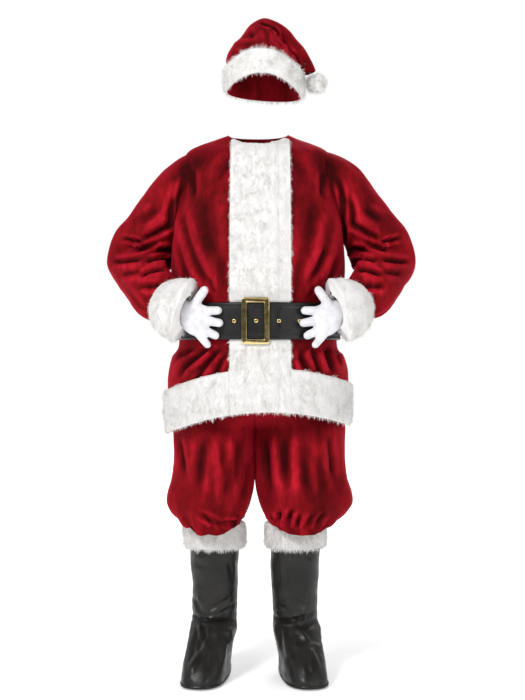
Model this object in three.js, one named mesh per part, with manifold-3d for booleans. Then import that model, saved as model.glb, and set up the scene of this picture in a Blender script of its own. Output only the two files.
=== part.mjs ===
// Santa suit in its worn form, with no wearer: hat, jacket, belt, gloves, breeches and boot tops.
// Millimetres, +Z up, front facing -Y, so that the wearer's left is at +X. Heights in the tables are
// above the floor, and the group is lowered at the end so that the origin is the middle of the neck.
import * as THREE from "three";
import { mergeVertices } from "three/addons/utils/BufferGeometryUtils.js";
import Module from "manifold-3d";

const wasm = await Module();
wasm.setup();

// ---- driving sizes -------------------------------------------------------------------------------
const NECK_HEIGHT = 1515;
const SEAM = 0.3;
const PLUSH = 2.4; // red plush cloth
const VINYL = 1.4; // black coated cloth of the boot tops
const FUR = 12; // reach of the pile
const FUR_PRESSED = 3; // pile under the belt
const GLOVE = 1.2; // white knit

const BELT_HEIGHT = 1005.5;
const BELT_WIDTH = 102;
const BELT_THICK = 3.5;
const BELT_OFF = 7; // belt's back face from the plush
const CINCH_BELOW = 940;
const CINCH_ABOVE = 1071;

const TRIM_RIGHT_EDGE = -76; // front trim, across the chest
const TRIM_LAP = 56;
const TRIM_LEFT_EDGE = 88;
const FRONT_EDGE = 7; // where the two fronts meet under the trim

// ---- small mathematics ---------------------------------------------------------------------------
const DEGREE = Math.PI / 180;
const clamp = (value, low, high) => Math.min(high, Math.max(low, value));
const table = (columns, ...rows) =>
  rows.map((row) => Object.fromEntries(columns.split(" ").map((name, i) => [name, row[i]])));

// A table's column at place t, counted in rows, as a smooth curve through the rows.
function smooth(rows, column, t) {
  const last = rows.length - 1;
  const i = clamp(Math.floor(t), 0, last - 1);
  const f = t - i;
  const value = (k) => {
    if (k < 0) return 2 * rows[0][column] - rows[1][column];
    if (k > last) return 2 * rows[last][column] - rows[last - 1][column];
    return rows[k][column];
  };
  const [a, b, c, d] = [value(i - 1), value(i), value(i + 1), value(i + 2)];
  const bend = (2 * a - 5 * b + 4 * c - d) * f * f + (3 * b - a - 3 * c + d) * f ** 3;
  return 0.5 * (2 * b + (c - a) * f + bend);
}

const power = (value, n) => Math.sign(value) * Math.abs(value) ** (2 / n);

// ---- forms: the outer face of worn cloth ---------------------------------------------------------
// A form's rows are its sections. angle 0 is the front, 90 the left side and 180 the back.
// Columns: x y z centre, across half width, front and back depths, square the corner exponent,
// frontRise, backRise and tilt how much the ring rises at the front, the back and the left, and
// turn how far the ring leans about Y, in degrees. A bent form's rings stand across its path.
class Form {
  constructor(rows, { bent = false, folds = [] } = {}) {
    const usual = { x: 0, y: 0, square: 2, frontRise: 0, backRise: 0, tilt: 0, turn: 0 };
    this.rows = rows.map((row) => ({ ...usual, ...row }));
    this.bent = bent;
    this.folds = folds;
  }

  centre(t) {
    return new THREE.Vector3(...["x", "y", "z"].map((name) => smooth(this.rows, name, t)));
  }

  axes(t) {
    if (!this.bent) {
      const turn = smooth(this.rows, "turn", t) * DEGREE;
      return [new THREE.Vector3(Math.cos(turn), 0, Math.sin(turn)), new THREE.Vector3(0, -1, 0)];
    }
    const along = this.centre(t + 0.05).sub(this.centre(t - 0.05)).normalize();
    const side = along.clone().cross(new THREE.Vector3(0, -1, 0)).normalize();
    return [side, side.clone().cross(along)];
  }

  // How far the folds push a point out.
  folded(angle, t) {
    let push = 0;
    for (const fold of this.folds) {
      const off = ((((angle - fold.angle - (fold.lean ?? 0) * (t - fold.at)) % 360) + 540) % 360) - 180;
      push += fold.push * Math.exp(-((off / fold.wide) ** 2) - ((t - fold.at) / fold.long) ** 2);
    }
    return push;
  }

  at(angle, t, out = 0) {
    const of = (name) => smooth(this.rows, name, t);
    const [sin, cos] = [Math.sin(angle * DEGREE), Math.cos(angle * DEGREE)];
    const [side, front] = this.axes(t);
    const grow = this.folded(angle, t) + out;
    const n = of("square");
    const point = this.centre(t)
      .addScaledVector(side, of("across") * power(sin, n))
      .addScaledVector(front, (cos > 0 ? of("front") : of("back")) * power(cos, n));
    point.z += (cos > 0 ? of("frontRise") : of("backRise")) * cos * cos + of("tilt") * sin;
    return grow ? point.addScaledVector(this.normal(angle, t), grow) : point;
  }

  // Outward normal of the form without its folds.
  normal(angle, t) {
    const bare = new Form([], { bent: this.bent });
    bare.rows = this.rows;
    const [a, b] = [bare.at(angle - 1, t), bare.at(angle + 1, t)];
    const [c, d] = [bare.at(angle, t - 0.05), bare.at(angle, t + 0.05)];
    const normal = b.sub(a).cross(d.sub(c)).normalize();
    const outward = bare.at(angle, t).sub(bare.centre(t));
    return normal.dot(outward) < 0 ? normal.negate() : normal;
  }

  // The angle at which the front of the form is at this x.
  angleAt(x, t) {
    const reach = clamp(Math.abs(x) / smooth(this.rows, "across", t), 0, 0.75);
    return (Math.sign(x) * Math.asin(reach ** (smooth(this.rows, "square", t) / 2))) / DEGREE;
  }
}

// ---- solids --------------------------------------------------------------------------------------
// A closed wall of cloth: a grid of points on a form and the same grid moved in by thick.
// angles(t) gives the columns, round says that the columns close into a tube.
function wall(form, { angles, places, out = 0, thick, round = false }) {
  const outAt = typeof out === "function" ? out : () => out;
  const thickAt = typeof thick === "function" ? thick : () => thick;
  const points = [];
  const columns = angles(places[0]).length;
  for (const layer of [0, 1])
    for (const t of places)
      for (const angle of angles(t)) {
        const off = outAt(angle, t) - layer * thickAt(angle, t);
        points.push(...form.at(angle, t, off).toArray());
      }
  const rows = places.length;
  const index = (layer, j, i) => layer * rows * columns + j * columns + (i % columns);
  const faces = [];
  const quad = (a, b, c, d) => faces.push(a, b, c, a, c, d);
  const spans = round ? columns : columns - 1;
  for (let j = 0; j < rows - 1; j++)
    for (let i = 0; i < spans; i++) {
      quad(index(0, j, i), index(0, j, i + 1), index(0, j + 1, i + 1), index(0, j + 1, i));
      quad(index(1, j + 1, i + 1), index(1, j, i + 1), index(1, j, i), index(1, j + 1, i));
    }
  for (let i = 0; i < spans; i++) {
    quad(index(1, 0, i), index(1, 0, i + 1), index(0, 0, i + 1), index(0, 0, i));
    const top = rows - 1;
    quad(index(0, top, i), index(0, top, i + 1), index(1, top, i + 1), index(1, top, i));
  }
  if (!round)
    for (let j = 0; j < rows - 1; j++) {
      quad(index(0, j, 0), index(0, j + 1, 0), index(1, j + 1, 0), index(1, j, 0));
      const end = columns - 1;
      quad(index(1, j, end), index(1, j + 1, end), index(0, j + 1, end), index(0, j, end));
    }
  return faced(points, faces);
}

// A form's inside as one filled solid, moved out by out, for cutting.
function filled(form, { angles, places, out = 0 }) {
  const points = [];
  const columns = angles(places[0]).length;
  for (const t of places)
    for (const angle of angles(t)) points.push(...form.at(angle, t, out).toArray());
  const faces = [];
  for (let j = 0; j < places.length - 1; j++)
    for (let i = 0; i < columns; i++) {
      const [a, b] = [j * columns + i, j * columns + ((i + 1) % columns)];
      faces.push(a, b, b + columns, a, b + columns, a + columns);
    }
  const caps = [
    [places[0], 0, 1],
    [places.at(-1), (places.length - 1) * columns, -1],
  ];
  for (const [t, first, turn] of caps) {
    const middle = points.length / 3;
    points.push(...form.centre(t).toArray());
    for (let i = 0; i < columns; i++) {
      const [a, b] = [first + i, first + ((i + 1) % columns)];
      faces.push(...(turn > 0 ? [b, a, middle] : [a, b, middle]));
    }
  }
  return faced(points, faces);
}

// A geometry from points and faces, turned so that its faces point out.
function faced(points, faces) {
  const geometry = new THREE.BufferGeometry()
    .setAttribute("position", new THREE.Float32BufferAttribute(points, 3))
    .setIndex(faces);
  let volume = 0;
  const corner = (k) => new THREE.Vector3().fromArray(points, 3 * faces[k]);
  for (let k = 0; k < faces.length; k += 3)
    volume += corner(k).dot(corner(k + 1).cross(corner(k + 2)));
  if (volume < 0)
    for (let k = 0; k < faces.length; k += 3) [faces[k], faces[k + 1]] = [faces[k + 1], faces[k]];
  return geometry.setIndex(faces);
}

function solid(geometry) {
  const bare = new THREE.BufferGeometry()
    .setAttribute("position", geometry.getAttribute("position"))
    .setIndex(geometry.index);
  const merged = mergeVertices(bare, 1e-4);
  const mesh = new wasm.Mesh({
    numProp: 3,
    vertProperties: merged.attributes.position.array,
    triVerts: new Uint32Array(merged.index.array),
  });
  return new wasm.Manifold(mesh);
}

function geometryOf(manifold) {
  const mesh = manifold.getMesh();
  return new THREE.BufferGeometry()
    .setAttribute("position", new THREE.BufferAttribute(mesh.vertProperties, 3))
    .setIndex(new THREE.BufferAttribute(mesh.triVerts, 1));
}

const box = (low, high) =>
  solid(
    new THREE.BoxGeometry(...high.map((value, i) => value - low[i])).translate(
      ...high.map((value, i) => (value + low[i]) / 2),
    ),
  );

const evenly = (from, to, count) =>
  Array.from({ length: count + 1 }, (_, i) => from + ((to - from) * i) / count);
const roundAngles = (count) => () => evenly(0, 360, count).slice(0, -1);

// ---- materials and the group ---------------------------------------------------------------------
const finish = (color, roughness, metalness = 0) =>
  new THREE.MeshStandardMaterial({ color, roughness, metalness });
const plush = finish(0x9c0f1c, 0.85);
const fur = finish(0xf1efec, 0.95);
const knit = finish(0xe9e7ee, 0.9);
const beltVinyl = finish(0x1d1d1f, 0.4);
const bootVinyl = finish(0x29292b, 0.38);
const brass = finish(0xb79a52, 0.25, 1);

const suit = new THREE.Group();
suit.name = "santa_suit";
suit.position.z = -NECK_HEIGHT;

function add(name, geometry, material, group = suit) {
  const mesh = new THREE.Mesh(geometry, material);
  mesh.name = name;
  group.add(mesh);
}

// ---- jacket body ---------------------------------------------------------------------------------
const HEM_TOP_ROW = 2;
const CINCH_ROWS = [5, 6];
const NECK_ROW = 18;
const bodice = new Form(
  table(
    "z across front back square frontRise backRise tilt",
    [700, 261, 214, 172, 2.1, 55, -6, 12],
    [760, 261, 213, 172, 2.1, 55, -5, 12],
    [822, 261, 212, 170, 2.1, 53, -4, 11],
    [866, 259, 211, 166, 2.1, 32, 0, 6],
    [908, 247, 211, 159, 2.1, 10, 0, 2],
    [CINCH_BELOW, 227, 207, 150, 2.1, 0, 0, 0],
    [CINCH_ABOVE, 227, 207, 150, 2.1, 0, 0, 0],
    [1098, 240, 217, 159, 2.1, 0, 0, 0],
    [1140, 250, 222, 165, 2.1, 0, 0, 0],
    [1205, 249, 213, 166, 2.1, 0, 0, 0],
    [1290, 242, 189, 160, 2.1, 0, 0, 0],
    [1370, 232, 160, 148, 2.15, 0, 0, 0],
    [1430, 222, 133, 128, 2.2, 0, 0, 0],
    [1466, 215, 117, 112, 2.2, -2, 0, 0],
    [1490, 203, 103, 96, 2.2, -5, 0, 0],
    [1506, 181, 93, 84, 2.1, -10, 0, 0],
    [1520, 148, 86, 76, 2, -20, 0, 0],
    [1532, 114, 81, 69, 2, -32, 0, 0],
    [1543, 87, 77, 64, 2, -46, 0, 0],
  ),
  {
    folds: table(
      "angle at push wide long lean",
      [52, 9.2, 7, 10, 2.2, 6],
      [-56, 8.8, 8, 10, 2.4, -7],
      [-33, 4.1, 5, 6, 1.2, -9],
      [64, 3.6, 5, 8, 1.2, 5],
      [150, 9, 6, 14, 3, 0],
      [-148, 8.5, 6, 13, 3, 0],
      [118, 3.4, 6, 9, 1.4, 0],
      [-120, 3.6, 6, 9, 1.4, 0],
      [172, 3.3, 5, 10, 1.3, 0],
    ),
  },
);

const bodiceRows = [0, ...evenly(HEM_TOP_ROW, 7, 5), 9, 11, ...evenly(12, NECK_ROW, NECK_ROW - 12)];
const hemRows = [0, HEM_TOP_ROW];
const degreesFor = (form, millimetres, t) => millimetres / smooth(form.rows, "across", t) / DEGREE;

// Columns of each panel, in degrees, with half a seam left out at each edge.
function leftFront(t) {
  const half = degreesFor(bodice, SEAM / 2, t);
  const edge = bodice.angleAt(TRIM_LEFT_EDGE, t);
  return [
    bodice.angleAt(FRONT_EDGE, t) + half,
    bodice.angleAt((FRONT_EDGE + TRIM_LAP) / 2, t),
    bodice.angleAt(TRIM_LAP, t),
    ...evenly(edge, 90, 5).slice(0, -1),
    90 - half,
  ];
}
function rightFront(t) {
  const half = degreesFor(bodice, SEAM / 2, t);
  const edge = bodice.angleAt(TRIM_RIGHT_EDGE, t);
  return [
    -90 + half,
    ...evenly(-90, edge, 5).slice(1),
    bodice.angleAt((FRONT_EDGE + TRIM_RIGHT_EDGE) / 2, t),
    bodice.angleAt(FRONT_EDGE, t) - half,
  ];
}
function backColumns(t) {
  const half = degreesFor(bodice, SEAM / 2, t);
  return [90 + half, ...evenly(90, 270, 11).slice(1, -1), 270 - half];
}
function overTrim(t) {
  const half = degreesFor(bodice, SEAM / 2, t);
  const at = (x) => bodice.angleAt(x, t);
  const middles = [(FRONT_EDGE + TRIM_RIGHT_EDGE) / 2, FRONT_EDGE, (FRONT_EDGE + TRIM_LAP) / 2];
  return [at(TRIM_RIGHT_EDGE) + half, ...middles.map(at), at(TRIM_LAP) - half];
}
function underTrim(t) {
  const half = degreesFor(bodice, SEAM / 2, t);
  return [bodice.angleAt(TRIM_LAP, t) + half, bodice.angleAt(TRIM_LEFT_EDGE, t) - half];
}
const leftHem = (t) => leftFront(t).slice(3).map((a, i) => (i ? a : a + degreesFor(bodice, SEAM, t)));
const rightHem = (t) =>
  rightFront(t).slice(0, 6).map((a, i) => (i < 5 ? a : a - degreesFor(bodice, SEAM, t)));

// ---- sleeves and cuffs ---------------------------------------------------------------------------
// side is 1 on the wearer's left and -1 on the right. The arms are alike about their own middle.
const ARMS_MIDDLE = 10;
const onSide = (rows, side) => rows.map((row) => ({ ...row, x: ARMS_MIDDLE + side * row.x }));
const foldsOnSide = (folds, side) =>
  folds.map((fold) => ({ ...fold, angle: side > 0 ? fold.angle : -fold.angle }));

function sleeveForm(side) {
  const rows = table(
    "x y z across front back",
    [140, 6, 1419, 88, 86, 86],
    [198, 6, 1398, 88, 87, 86],
    [243, 6, 1364, 83, 86, 84],
    [281, 8, 1321, 78, 84, 80],
    [311, 12, 1271, 84, 80, 78],
    [340, 14, 1222, 93, 76, 76],
    [355, 2, 1184, 91, 68, 72],
    [346, -46, 1144, 73, 60, 64],
    [316, -96, 1104, 71, 56, 58],
    [290, -132, 1072, 66, 50, 50],
    [264, -158, 1056, 46, 36, 36],
  );
  const folds = table(
    "angle at push wide long",
    [-60, 5.6, -9, 26, 0.4],
    [-20, 6.2, -9, 30, 0.4],
    [20, 5.4, -7, 22, 0.5],
    [-10, 3.2, -6, 16, 1.2],
    [60, 7.4, 6, 22, 0.7],
    [20, 8, -6, 22, 0.5],
    [170, 5.8, -8, 30, 0.5],
    [200, 6.8, -7, 24, 0.5],
    [150, 3.6, 6, 24, 0.9],
  );
  return new Form(onSide(rows, side), { bent: true, folds: foldsOnSide(folds, side) });
}

function cuffForm(side) {
  const rows = table(
    "x y z across front back",
    [271, -152, 1059, 50, 37, 37],
    [256, -170, 1052, 63, 44, 42],
    [235, -191, 1043, 75, 49, 42],
    [208, -202, 1034, 80, 48, 38],
  );
  return new Form(onSide(rows, side), { bent: true });
}

const sideNames = { left: 1, right: -1 };
const sleeveAround = roundAngles(12);
const sleevePlaces = [0, 1, 2, 3, 3.8, 4.6, 5.2, 5.8, 6.5, 7.3, 8.4, 9.2, 10];
const bodiceInside = filled(bodice, {
  angles: (t) => [...leftFront(t), ...backColumns(t), ...rightFront(t)],
  places: bodiceRows,
  out: SEAM,
});
const armholes = [];
for (const [name, side] of Object.entries(sideNames)) {
  const form = sleeveForm(side);
  const cuffShape = { angles: roundAngles(14), places: [0, 1, 2, 3] };
  const tube = wall(form, { angles: sleeveAround, places: sleevePlaces, thick: PLUSH, round: true });
  const cuffInside = filled(cuffForm(side), { ...cuffShape, out: 2 * SEAM + FUR });
  const sleeve = solid(tube).subtract(solid(bodiceInside)).subtract(solid(cuffInside));
  add("sleeve_" + name, geometryOf(sleeve), plush);
  armholes.push(
    solid(filled(form, { angles: sleeveAround, places: sleevePlaces.slice(0, 6), out: SEAM })),
  );
  const cuff = wall(cuffForm(side), {
    ...cuffShape,
    out: SEAM + FUR,
    thick: FUR,
    round: true,
  });
  add("cuff_fur_" + name, cuff, fur);
}

function bodicePanel(name, angles) {
  let panel = solid(wall(bodice, { angles, places: bodiceRows, thick: PLUSH }));
  for (const hole of armholes) panel = panel.subtract(hole);
  add(name, geometryOf(panel), plush);
}
bodicePanel("jacket_front_left", leftFront);
bodicePanel("jacket_front_right", rightFront);
bodicePanel("jacket_back", backColumns);

// ---- fur trim of the jacket ----------------------------------------------------------------------
const inCinch = (t) => t > CINCH_ROWS[0] - 0.5 && t < CINCH_ROWS[1] + 0.5;
const furThick = (angle, t) => (inCinch(t) ? FUR_PRESSED : FUR);
const furOut = (angle, t) => SEAM + furThick(angle, t);
const trimOn = (name, angles, places) =>
  add(name, wall(bodice, { angles, places, out: furOut, thick: furThick }), fur);
trimOn("front_fur_over", overTrim, bodiceRows);
trimOn("front_fur_under", underTrim, bodiceRows);
trimOn("hem_fur_left", leftHem, hemRows);
trimOn("hem_fur_right", rightHem, hemRows);
trimOn("hem_fur_back", backColumns, hemRows);

// ---- belt, buckle and eyelets --------------------------------------------------------------------
const BUCKLE_X = -6;
const BUCKLE = { width: 76, height: 128, bar: 14, ends: 12, thick: 6, corner: 9, inner: 3 };
const CENTRE_BAR = { width: 10, thick: 2.2, past: 2, end: 5 }; // past the strap's edge at each end
const EYELET = { flange: 6, barrel: 3, hole: 2.1, lip: 0.8, lift: 0.8, sunk: 3, spacing: 60 };
const DRILL_LENGTH = 20;
const WALK = 0.5; // degrees about the belt, a step of the eyelets' spacing
const EYELETS_FROM = -1; // counted from the one inside the buckle, towards the wearer's left
const EYELETS_TO = 2;

const cinchAt = (z) => CINCH_ROWS[0] + (z - CINCH_BELOW) / (CINCH_ABOVE - CINCH_BELOW);
const beltEdges = [-1, 1].map((end) => cinchAt(BELT_HEIGHT + (end * BELT_WIDTH) / 2));
const beltForm = new Form(bodice.rows.slice(CINCH_ROWS[0], CINCH_ROWS[1] + 1));
const beltOut = BELT_OFF + BELT_THICK;
const beltWall = wall(beltForm, {
  angles: roundAngles(40),
  places: beltEdges.map((t) => t - CINCH_ROWS[0]),
  out: beltOut,
  thick: BELT_THICK,
  round: true,
});

// Eyelet places as turns about the belt, worked out from their spacing along it.
function eyeletAngle(count) {
  let [angle, walked] = [beltForm.angleAt(BUCKLE_X + 2, 0.5), 0];
  const step = Math.sign(count) * WALK;
  while (walked < Math.abs(count) * EYELET.spacing) {
    const here = beltForm.at(angle, 0.5, beltOut);
    walked += here.distanceTo(beltForm.at(angle + step, 0.5, beltOut));
    angle += step;
  }
  return angle;
}

function placedOnBelt(geometry, angle) {
  const normal = beltForm.normal(angle, 0.5);
  const turn = new THREE.Quaternion().setFromUnitVectors(new THREE.Vector3(0, 1, 0), normal);
  const face = beltForm.at(angle, 0.5, beltOut);
  face.z = BELT_HEIGHT;
  return geometry.applyQuaternion(turn).translate(...face.toArray());
}

// An eyelet turned about its own Y: a flange on the belt's face and a barrel through it.
function eyeletProfile() {
  const { flange, barrel, hole, lip, lift } = EYELET; // lift clears the belt's face between columns
  const back = -EYELET.sunk;
  const outline = [
    [hole, back],
    [barrel, back],
    [barrel, lift],
    [flange, lift],
    [flange - lip / 2, lift + lip],
    [hole, lift + lip],
    [hole, back],
  ];
  return outline.map(([r, y]) => new THREE.Vector2(r, y));
}

let beltSolid = solid(beltWall);
for (let count = EYELETS_FROM; count <= EYELETS_TO; count++) {
  const angle = eyeletAngle(count);
  const drill = new THREE.CylinderGeometry(EYELET.barrel + SEAM, EYELET.barrel + SEAM, DRILL_LENGTH, 12);
  beltSolid = beltSolid.subtract(solid(placedOnBelt(drill, angle)));
  const eyelet = new THREE.LatheGeometry(eyeletProfile(), 10);
  add("belt_eyelet_" + (count - EYELETS_FROM + 1), placedOnBelt(eyelet, angle), brass);
}
add("belt_strap", geometryOf(beltSolid), beltVinyl);

// The buckle's frame is a rounded rectangle with a window, in front of the belt; a bar behind the
// belt joins its top and bottom, so that the strap is threaded through it.
function buckleGeometry() {
  const { width, height, bar, ends: endBar, thick, corner, inner } = BUCKLE;
  const rounded = (shape, w, h, r) => {
    shape.moveTo(-w / 2 + r, -h / 2);
    shape.lineTo(w / 2 - r, -h / 2).absarc(w / 2 - r, -h / 2 + r, r, -90 * DEGREE, 0);
    shape.lineTo(w / 2, h / 2 - r).absarc(w / 2 - r, h / 2 - r, r, 0, 90 * DEGREE);
    shape.lineTo(-w / 2 + r, h / 2).absarc(-w / 2 + r, h / 2 - r, r, 90 * DEGREE, 180 * DEGREE);
    shape.lineTo(-w / 2, -h / 2 + r).absarc(-w / 2 + r, -h / 2 + r, r, 180 * DEGREE, 270 * DEGREE);
    return shape;
  };
  const outline = rounded(new THREE.Shape(), width, height, corner);
  outline.holes.push(rounded(new THREE.Path(), width - 2 * bar, height - 2 * endBar, inner));
  const frame = new THREE.ExtrudeGeometry(outline, { depth: thick, bevelEnabled: false, curveSegments: 3 });
  frame.rotateX(90 * DEGREE); // its depth now runs towards the front
  const beltFace = beltForm.at(beltForm.angleAt(BUCKLE_X, 0.5), 0.5, beltOut).y;
  const frameBack = beltFace - 2 * SEAM;
  frame.translate(BUCKLE_X, frameBack, BELT_HEIGHT);
  const barFront = beltFace + BELT_THICK + 3 * SEAM;
  const barBack = barFront + CENTRE_BAR.thick;
  const half = CENTRE_BAR.width / 2;
  const reach = BELT_WIDTH / 2 + CENTRE_BAR.past;
  const tip = reach + CENTRE_BAR.end;
  const ends = [-1, 1].map((end) =>
    box(
      [BUCKLE_X - half, frameBack - 1, BELT_HEIGHT + (end > 0 ? reach : -tip)],
      [BUCKLE_X + half, barBack, BELT_HEIGHT + (end > 0 ? tip : -reach)],
    ),
  );
  const middle = box(
    [BUCKLE_X - half, barFront, BELT_HEIGHT - tip],
    [BUCKLE_X + half, barBack, BELT_HEIGHT + tip],
  );
  return geometryOf(ends.reduce((all, piece) => all.add(piece), solid(frame).add(middle)));
}
add("belt_buckle", buckleGeometry(), brass);

// ---- gloves --------------------------------------------------------------------------------------
// A palm and five fingers, each a bent form, joined and hollowed, open at the wrist.
const KNUCKLES_Y = -197;
const FINGER_SHARES = [0, 0.5, 0.84, 0.95, 1]; // places along a finger, and its radius at each
const FINGER_RADII = [1.02, 1, 0.88, 0.6, 0.12];
const CUT_PAST = 0.2; // rows by which the hollow runs out through the wrist
const TIP_SHORT = 0.15; // rows by which it stops short of each tip
function gloveForms(side) {
  const bent = (columns, ...rows) => new Form(onSide(table(columns, ...rows), side), { bent: true });
  const palm = bent(
    "x y z across front back",
    [246, -176, 1044, 31, 22, 22],
    [226, -186, 1036, 32, 22, 20],
    [205, -192, 1026, 38, 21, 18],
    [186, -195, 1015, 43, 19, 16],
    [170, -198, 1006, 45, 16, 14],
    [158, -200, 1000, 38, 11, 11],
    [154, -201, 998, 24, 5, 5],
  );
  const fingers = table(
    "fromX fromZ toX toZ toY radius",
    [168, 1033, 108, 1034, -213, 12.6],
    [166, 1009, 104, 998, -213, 12.8],
    [168, 986, 116, 961, -211, 12.4],
    [176, 974, 141, 933, -206, 11.2],
    [196, 1034, 149, 1099, -204, 13.6],
  ).map(({ fromX, fromZ, toX, toZ, toY, radius }) => {
    const start = new THREE.Vector3(fromX, KNUCKLES_Y, fromZ);
    const tip = new THREE.Vector3(toX, toY, toZ);
    const rows = FINGER_SHARES.map((share, i) => {
      const r = radius * FINGER_RADII[i];
      return [...start.clone().lerp(tip, share).toArray(), r, r, r];
    });
    return bent("x y z across front back", ...rows);
  });
  return [palm, ...fingers];
}

function glove(side) {
  const [outer, inner] = [0, -GLOVE].map((out) =>
    gloveForms(side)
      .map((form, i) => {
        const last = form.rows.length - 1;
        const first = i === 0 && out < 0 ? -CUT_PAST : 0;
        const end = last - (out < 0 ? TIP_SHORT : 0);
        const places = [first, ...evenly(0, last, last).slice(1, -1), end];
        const angles = roundAngles(i === 0 ? 10 : 7);
        return solid(filled(form, { angles, places, out: i > 0 ? out * 1.2 : out }));
      })
      .reduce((all, piece) => all.add(piece)),
  );
  return geometryOf(outer.subtract(inner));
}
for (const [name, side] of Object.entries(sideNames)) add("glove_" + name, glove(side), knit);

// ---- hat -----------------------------------------------------------------------------------------
// Each ring spans from a point on the outer side of the hat's bend to one on its inner side, both
// in the XZ plane. It rises from the band, turns over at the top and comes down as the tail.
const HAT_SEAM = 10; // where the seam of the two halves is, about the crown
const BAND_TOP_ROW = 1;
const CROWN_END = 11.4;
const crown = new Form(
  table(
    "outerX outerZ innerX innerZ depth frontRise backRise",
    [-89, 1668, 123, 1652, 117, 42, 4],
    [-89, 1736, 123, 1720, 118, 42, 2],
    [-92, 1764, 117, 1750, 112, 27, 0],
    [-77, 1794, 101, 1775, 99, 13, 0],
    [-47, 1829, 86, 1797, 82, 3, 0],
    [-17, 1865, 74, 1813, 64, 0, 0],
    [16, 1880, 68, 1821, 52, 0, 0],
    [50, 1870, 70, 1825, 46, 0, 0],
    [81, 1847, 78, 1816, 40, 0, 0],
    [106, 1819, 88, 1800, 35, 0, 0],
    [130, 1787, 104, 1776, 29, 0, 0],
    [148, 1760, 121, 1750, 22, 0, 0],
    [162, 1727, 139, 1720, 14, 0, 0],
  ).map(({ outerX, outerZ, innerX, innerZ, depth, frontRise, backRise }) => ({
    x: (outerX + innerX) / 2,
    z: (outerZ + innerZ) / 2,
    across: Math.hypot(innerX - outerX, innerZ - outerZ) / 2,
    turn: Math.atan2(innerZ - outerZ, innerX - outerX) / DEGREE,
    front: depth,
    back: depth,
    frontRise,
    backRise,
  })),
);
const POMPOM = { x: 169, y: -6, z: 1693, radius: 33 };
const pompomBall = (radius) =>
  new THREE.SphereGeometry(radius, 14, 9).translate(POMPOM.x, POMPOM.y, POMPOM.z);
const crownPlaces = [0, 1, 2, 3, 4, 5, 6, 7, 8, 9, 10, CROWN_END];
const crownHalf = (from) => (t) => {
  const half = degreesFor(crown, 2 * SEAM, t);
  return [from + half, ...evenly(from, from + 180, 9).slice(1, -1), from + 180 - half];
};
const crownHalves = { left: crownHalf(HAT_SEAM), right: crownHalf(HAT_SEAM - 180) };
for (const [name, angles] of Object.entries(crownHalves)) {
  const cloth = solid(wall(crown, { angles, places: crownPlaces, thick: PLUSH }));
  add("hat_crown_" + name, geometryOf(cloth.subtract(solid(pompomBall(POMPOM.radius + SEAM)))), plush);
}
add(
  "hat_band_fur",
  wall(crown, {
    angles: (t) => [...crownHalves.left(t), ...crownHalves.right(t)],
    places: [0, BAND_TOP_ROW],
    out: SEAM + FUR,
    thick: FUR,
    round: true,
  }),
  fur,
);
add("hat_pompom", pompomBall(POMPOM.radius), fur);

// ---- breeches ------------------------------------------------------------------------------------
// Two legs that share the hips. A leg's ring passes from half of the hips' ring (blend 0) to its own
// (blend 1), so that its two front edges meet along the rise and down the inside of the leg.
// Columns: across front back the hips' half width and depths; inner from the middle to the leg's
// inside, half legFront legBack the leg's half width and depths; the two rises as on a form.
const LEGS_MIDDLE = -9;
const LEG_BULK = 0.055; // the wearer's left leg is this much fuller, and the right one less so
const WAIST_ROW = 1;
const breechesRows = table(
  "z blend across front back inner half legFront legBack frontRise backRise",
  [1014, 0, 190, 149, 124, 2, 97, 140, 120, 0, 0],
  [984, 0, 194, 151, 127, 2, 99, 140, 122, 0, 0],
  [900, 0, 212, 160, 140, 2, 106, 140, 128, 0, 0],
  [820, 0, 232, 163, 148, 2, 114, 140, 134, 0, 0],
  [765, 0, 241, 160, 151, 2, 119, 140, 140, 0, 0],
  [736, 0.3, 246, 156, 152, 2, 122, 138, 140, 0, 0],
  [713, 0.7, 248, 152, 150, 2, 124, 134, 138, 0, 0],
  [694, 1, 248, 150, 148, 2, 123, 130, 135, 0, 0],
  [652, 1, 248, 150, 148, 2, 122, 126, 132, 0, 0],
  [606, 1, 248, 150, 148, 2, 122, 124, 130, 0, 0],
  [560, 1, 248, 150, 148, 2, 125, 126, 130, 0, 0],
  [520, 1, 248, 150, 148, 5, 130, 130, 130, 0, 0],
  [489, 1, 248, 150, 148, 12, 128, 131, 128, 0, 0],
  [465, 1, 248, 150, 148, 21, 117, 128, 118, -14, -8],
  [452, 1, 248, 150, 148, 29, 104, 124, 110, -43, -8],
  [448, 1, 248, 150, 148, 31, 98, 118, 104, -40, -4],
  [455, 1, 248, 150, 148, 33, 87, 108, 90, -10, 0],
  [465, 1, 248, 150, 148, 34, 82, 78, 78, 0, 0],
);
const breechesFolds = table(
  "angle at push wide long",
  [0, 14, -13, 12, 1.3],
  [34, 14, -8, 10, 1.6],
  [-28, 13.5, -7, 10, 1.5],
  [180, 14, -10, 16, 1.4],
  [150, 13, -6, 12, 1.6],
  [22, 10, 5, 12, 2.4],
  [-12, 10, 4, 10, 2.6],
  [62, 11, 5, 12, 2],
  [200, 10, 4, 14, 2.6],
);

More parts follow.
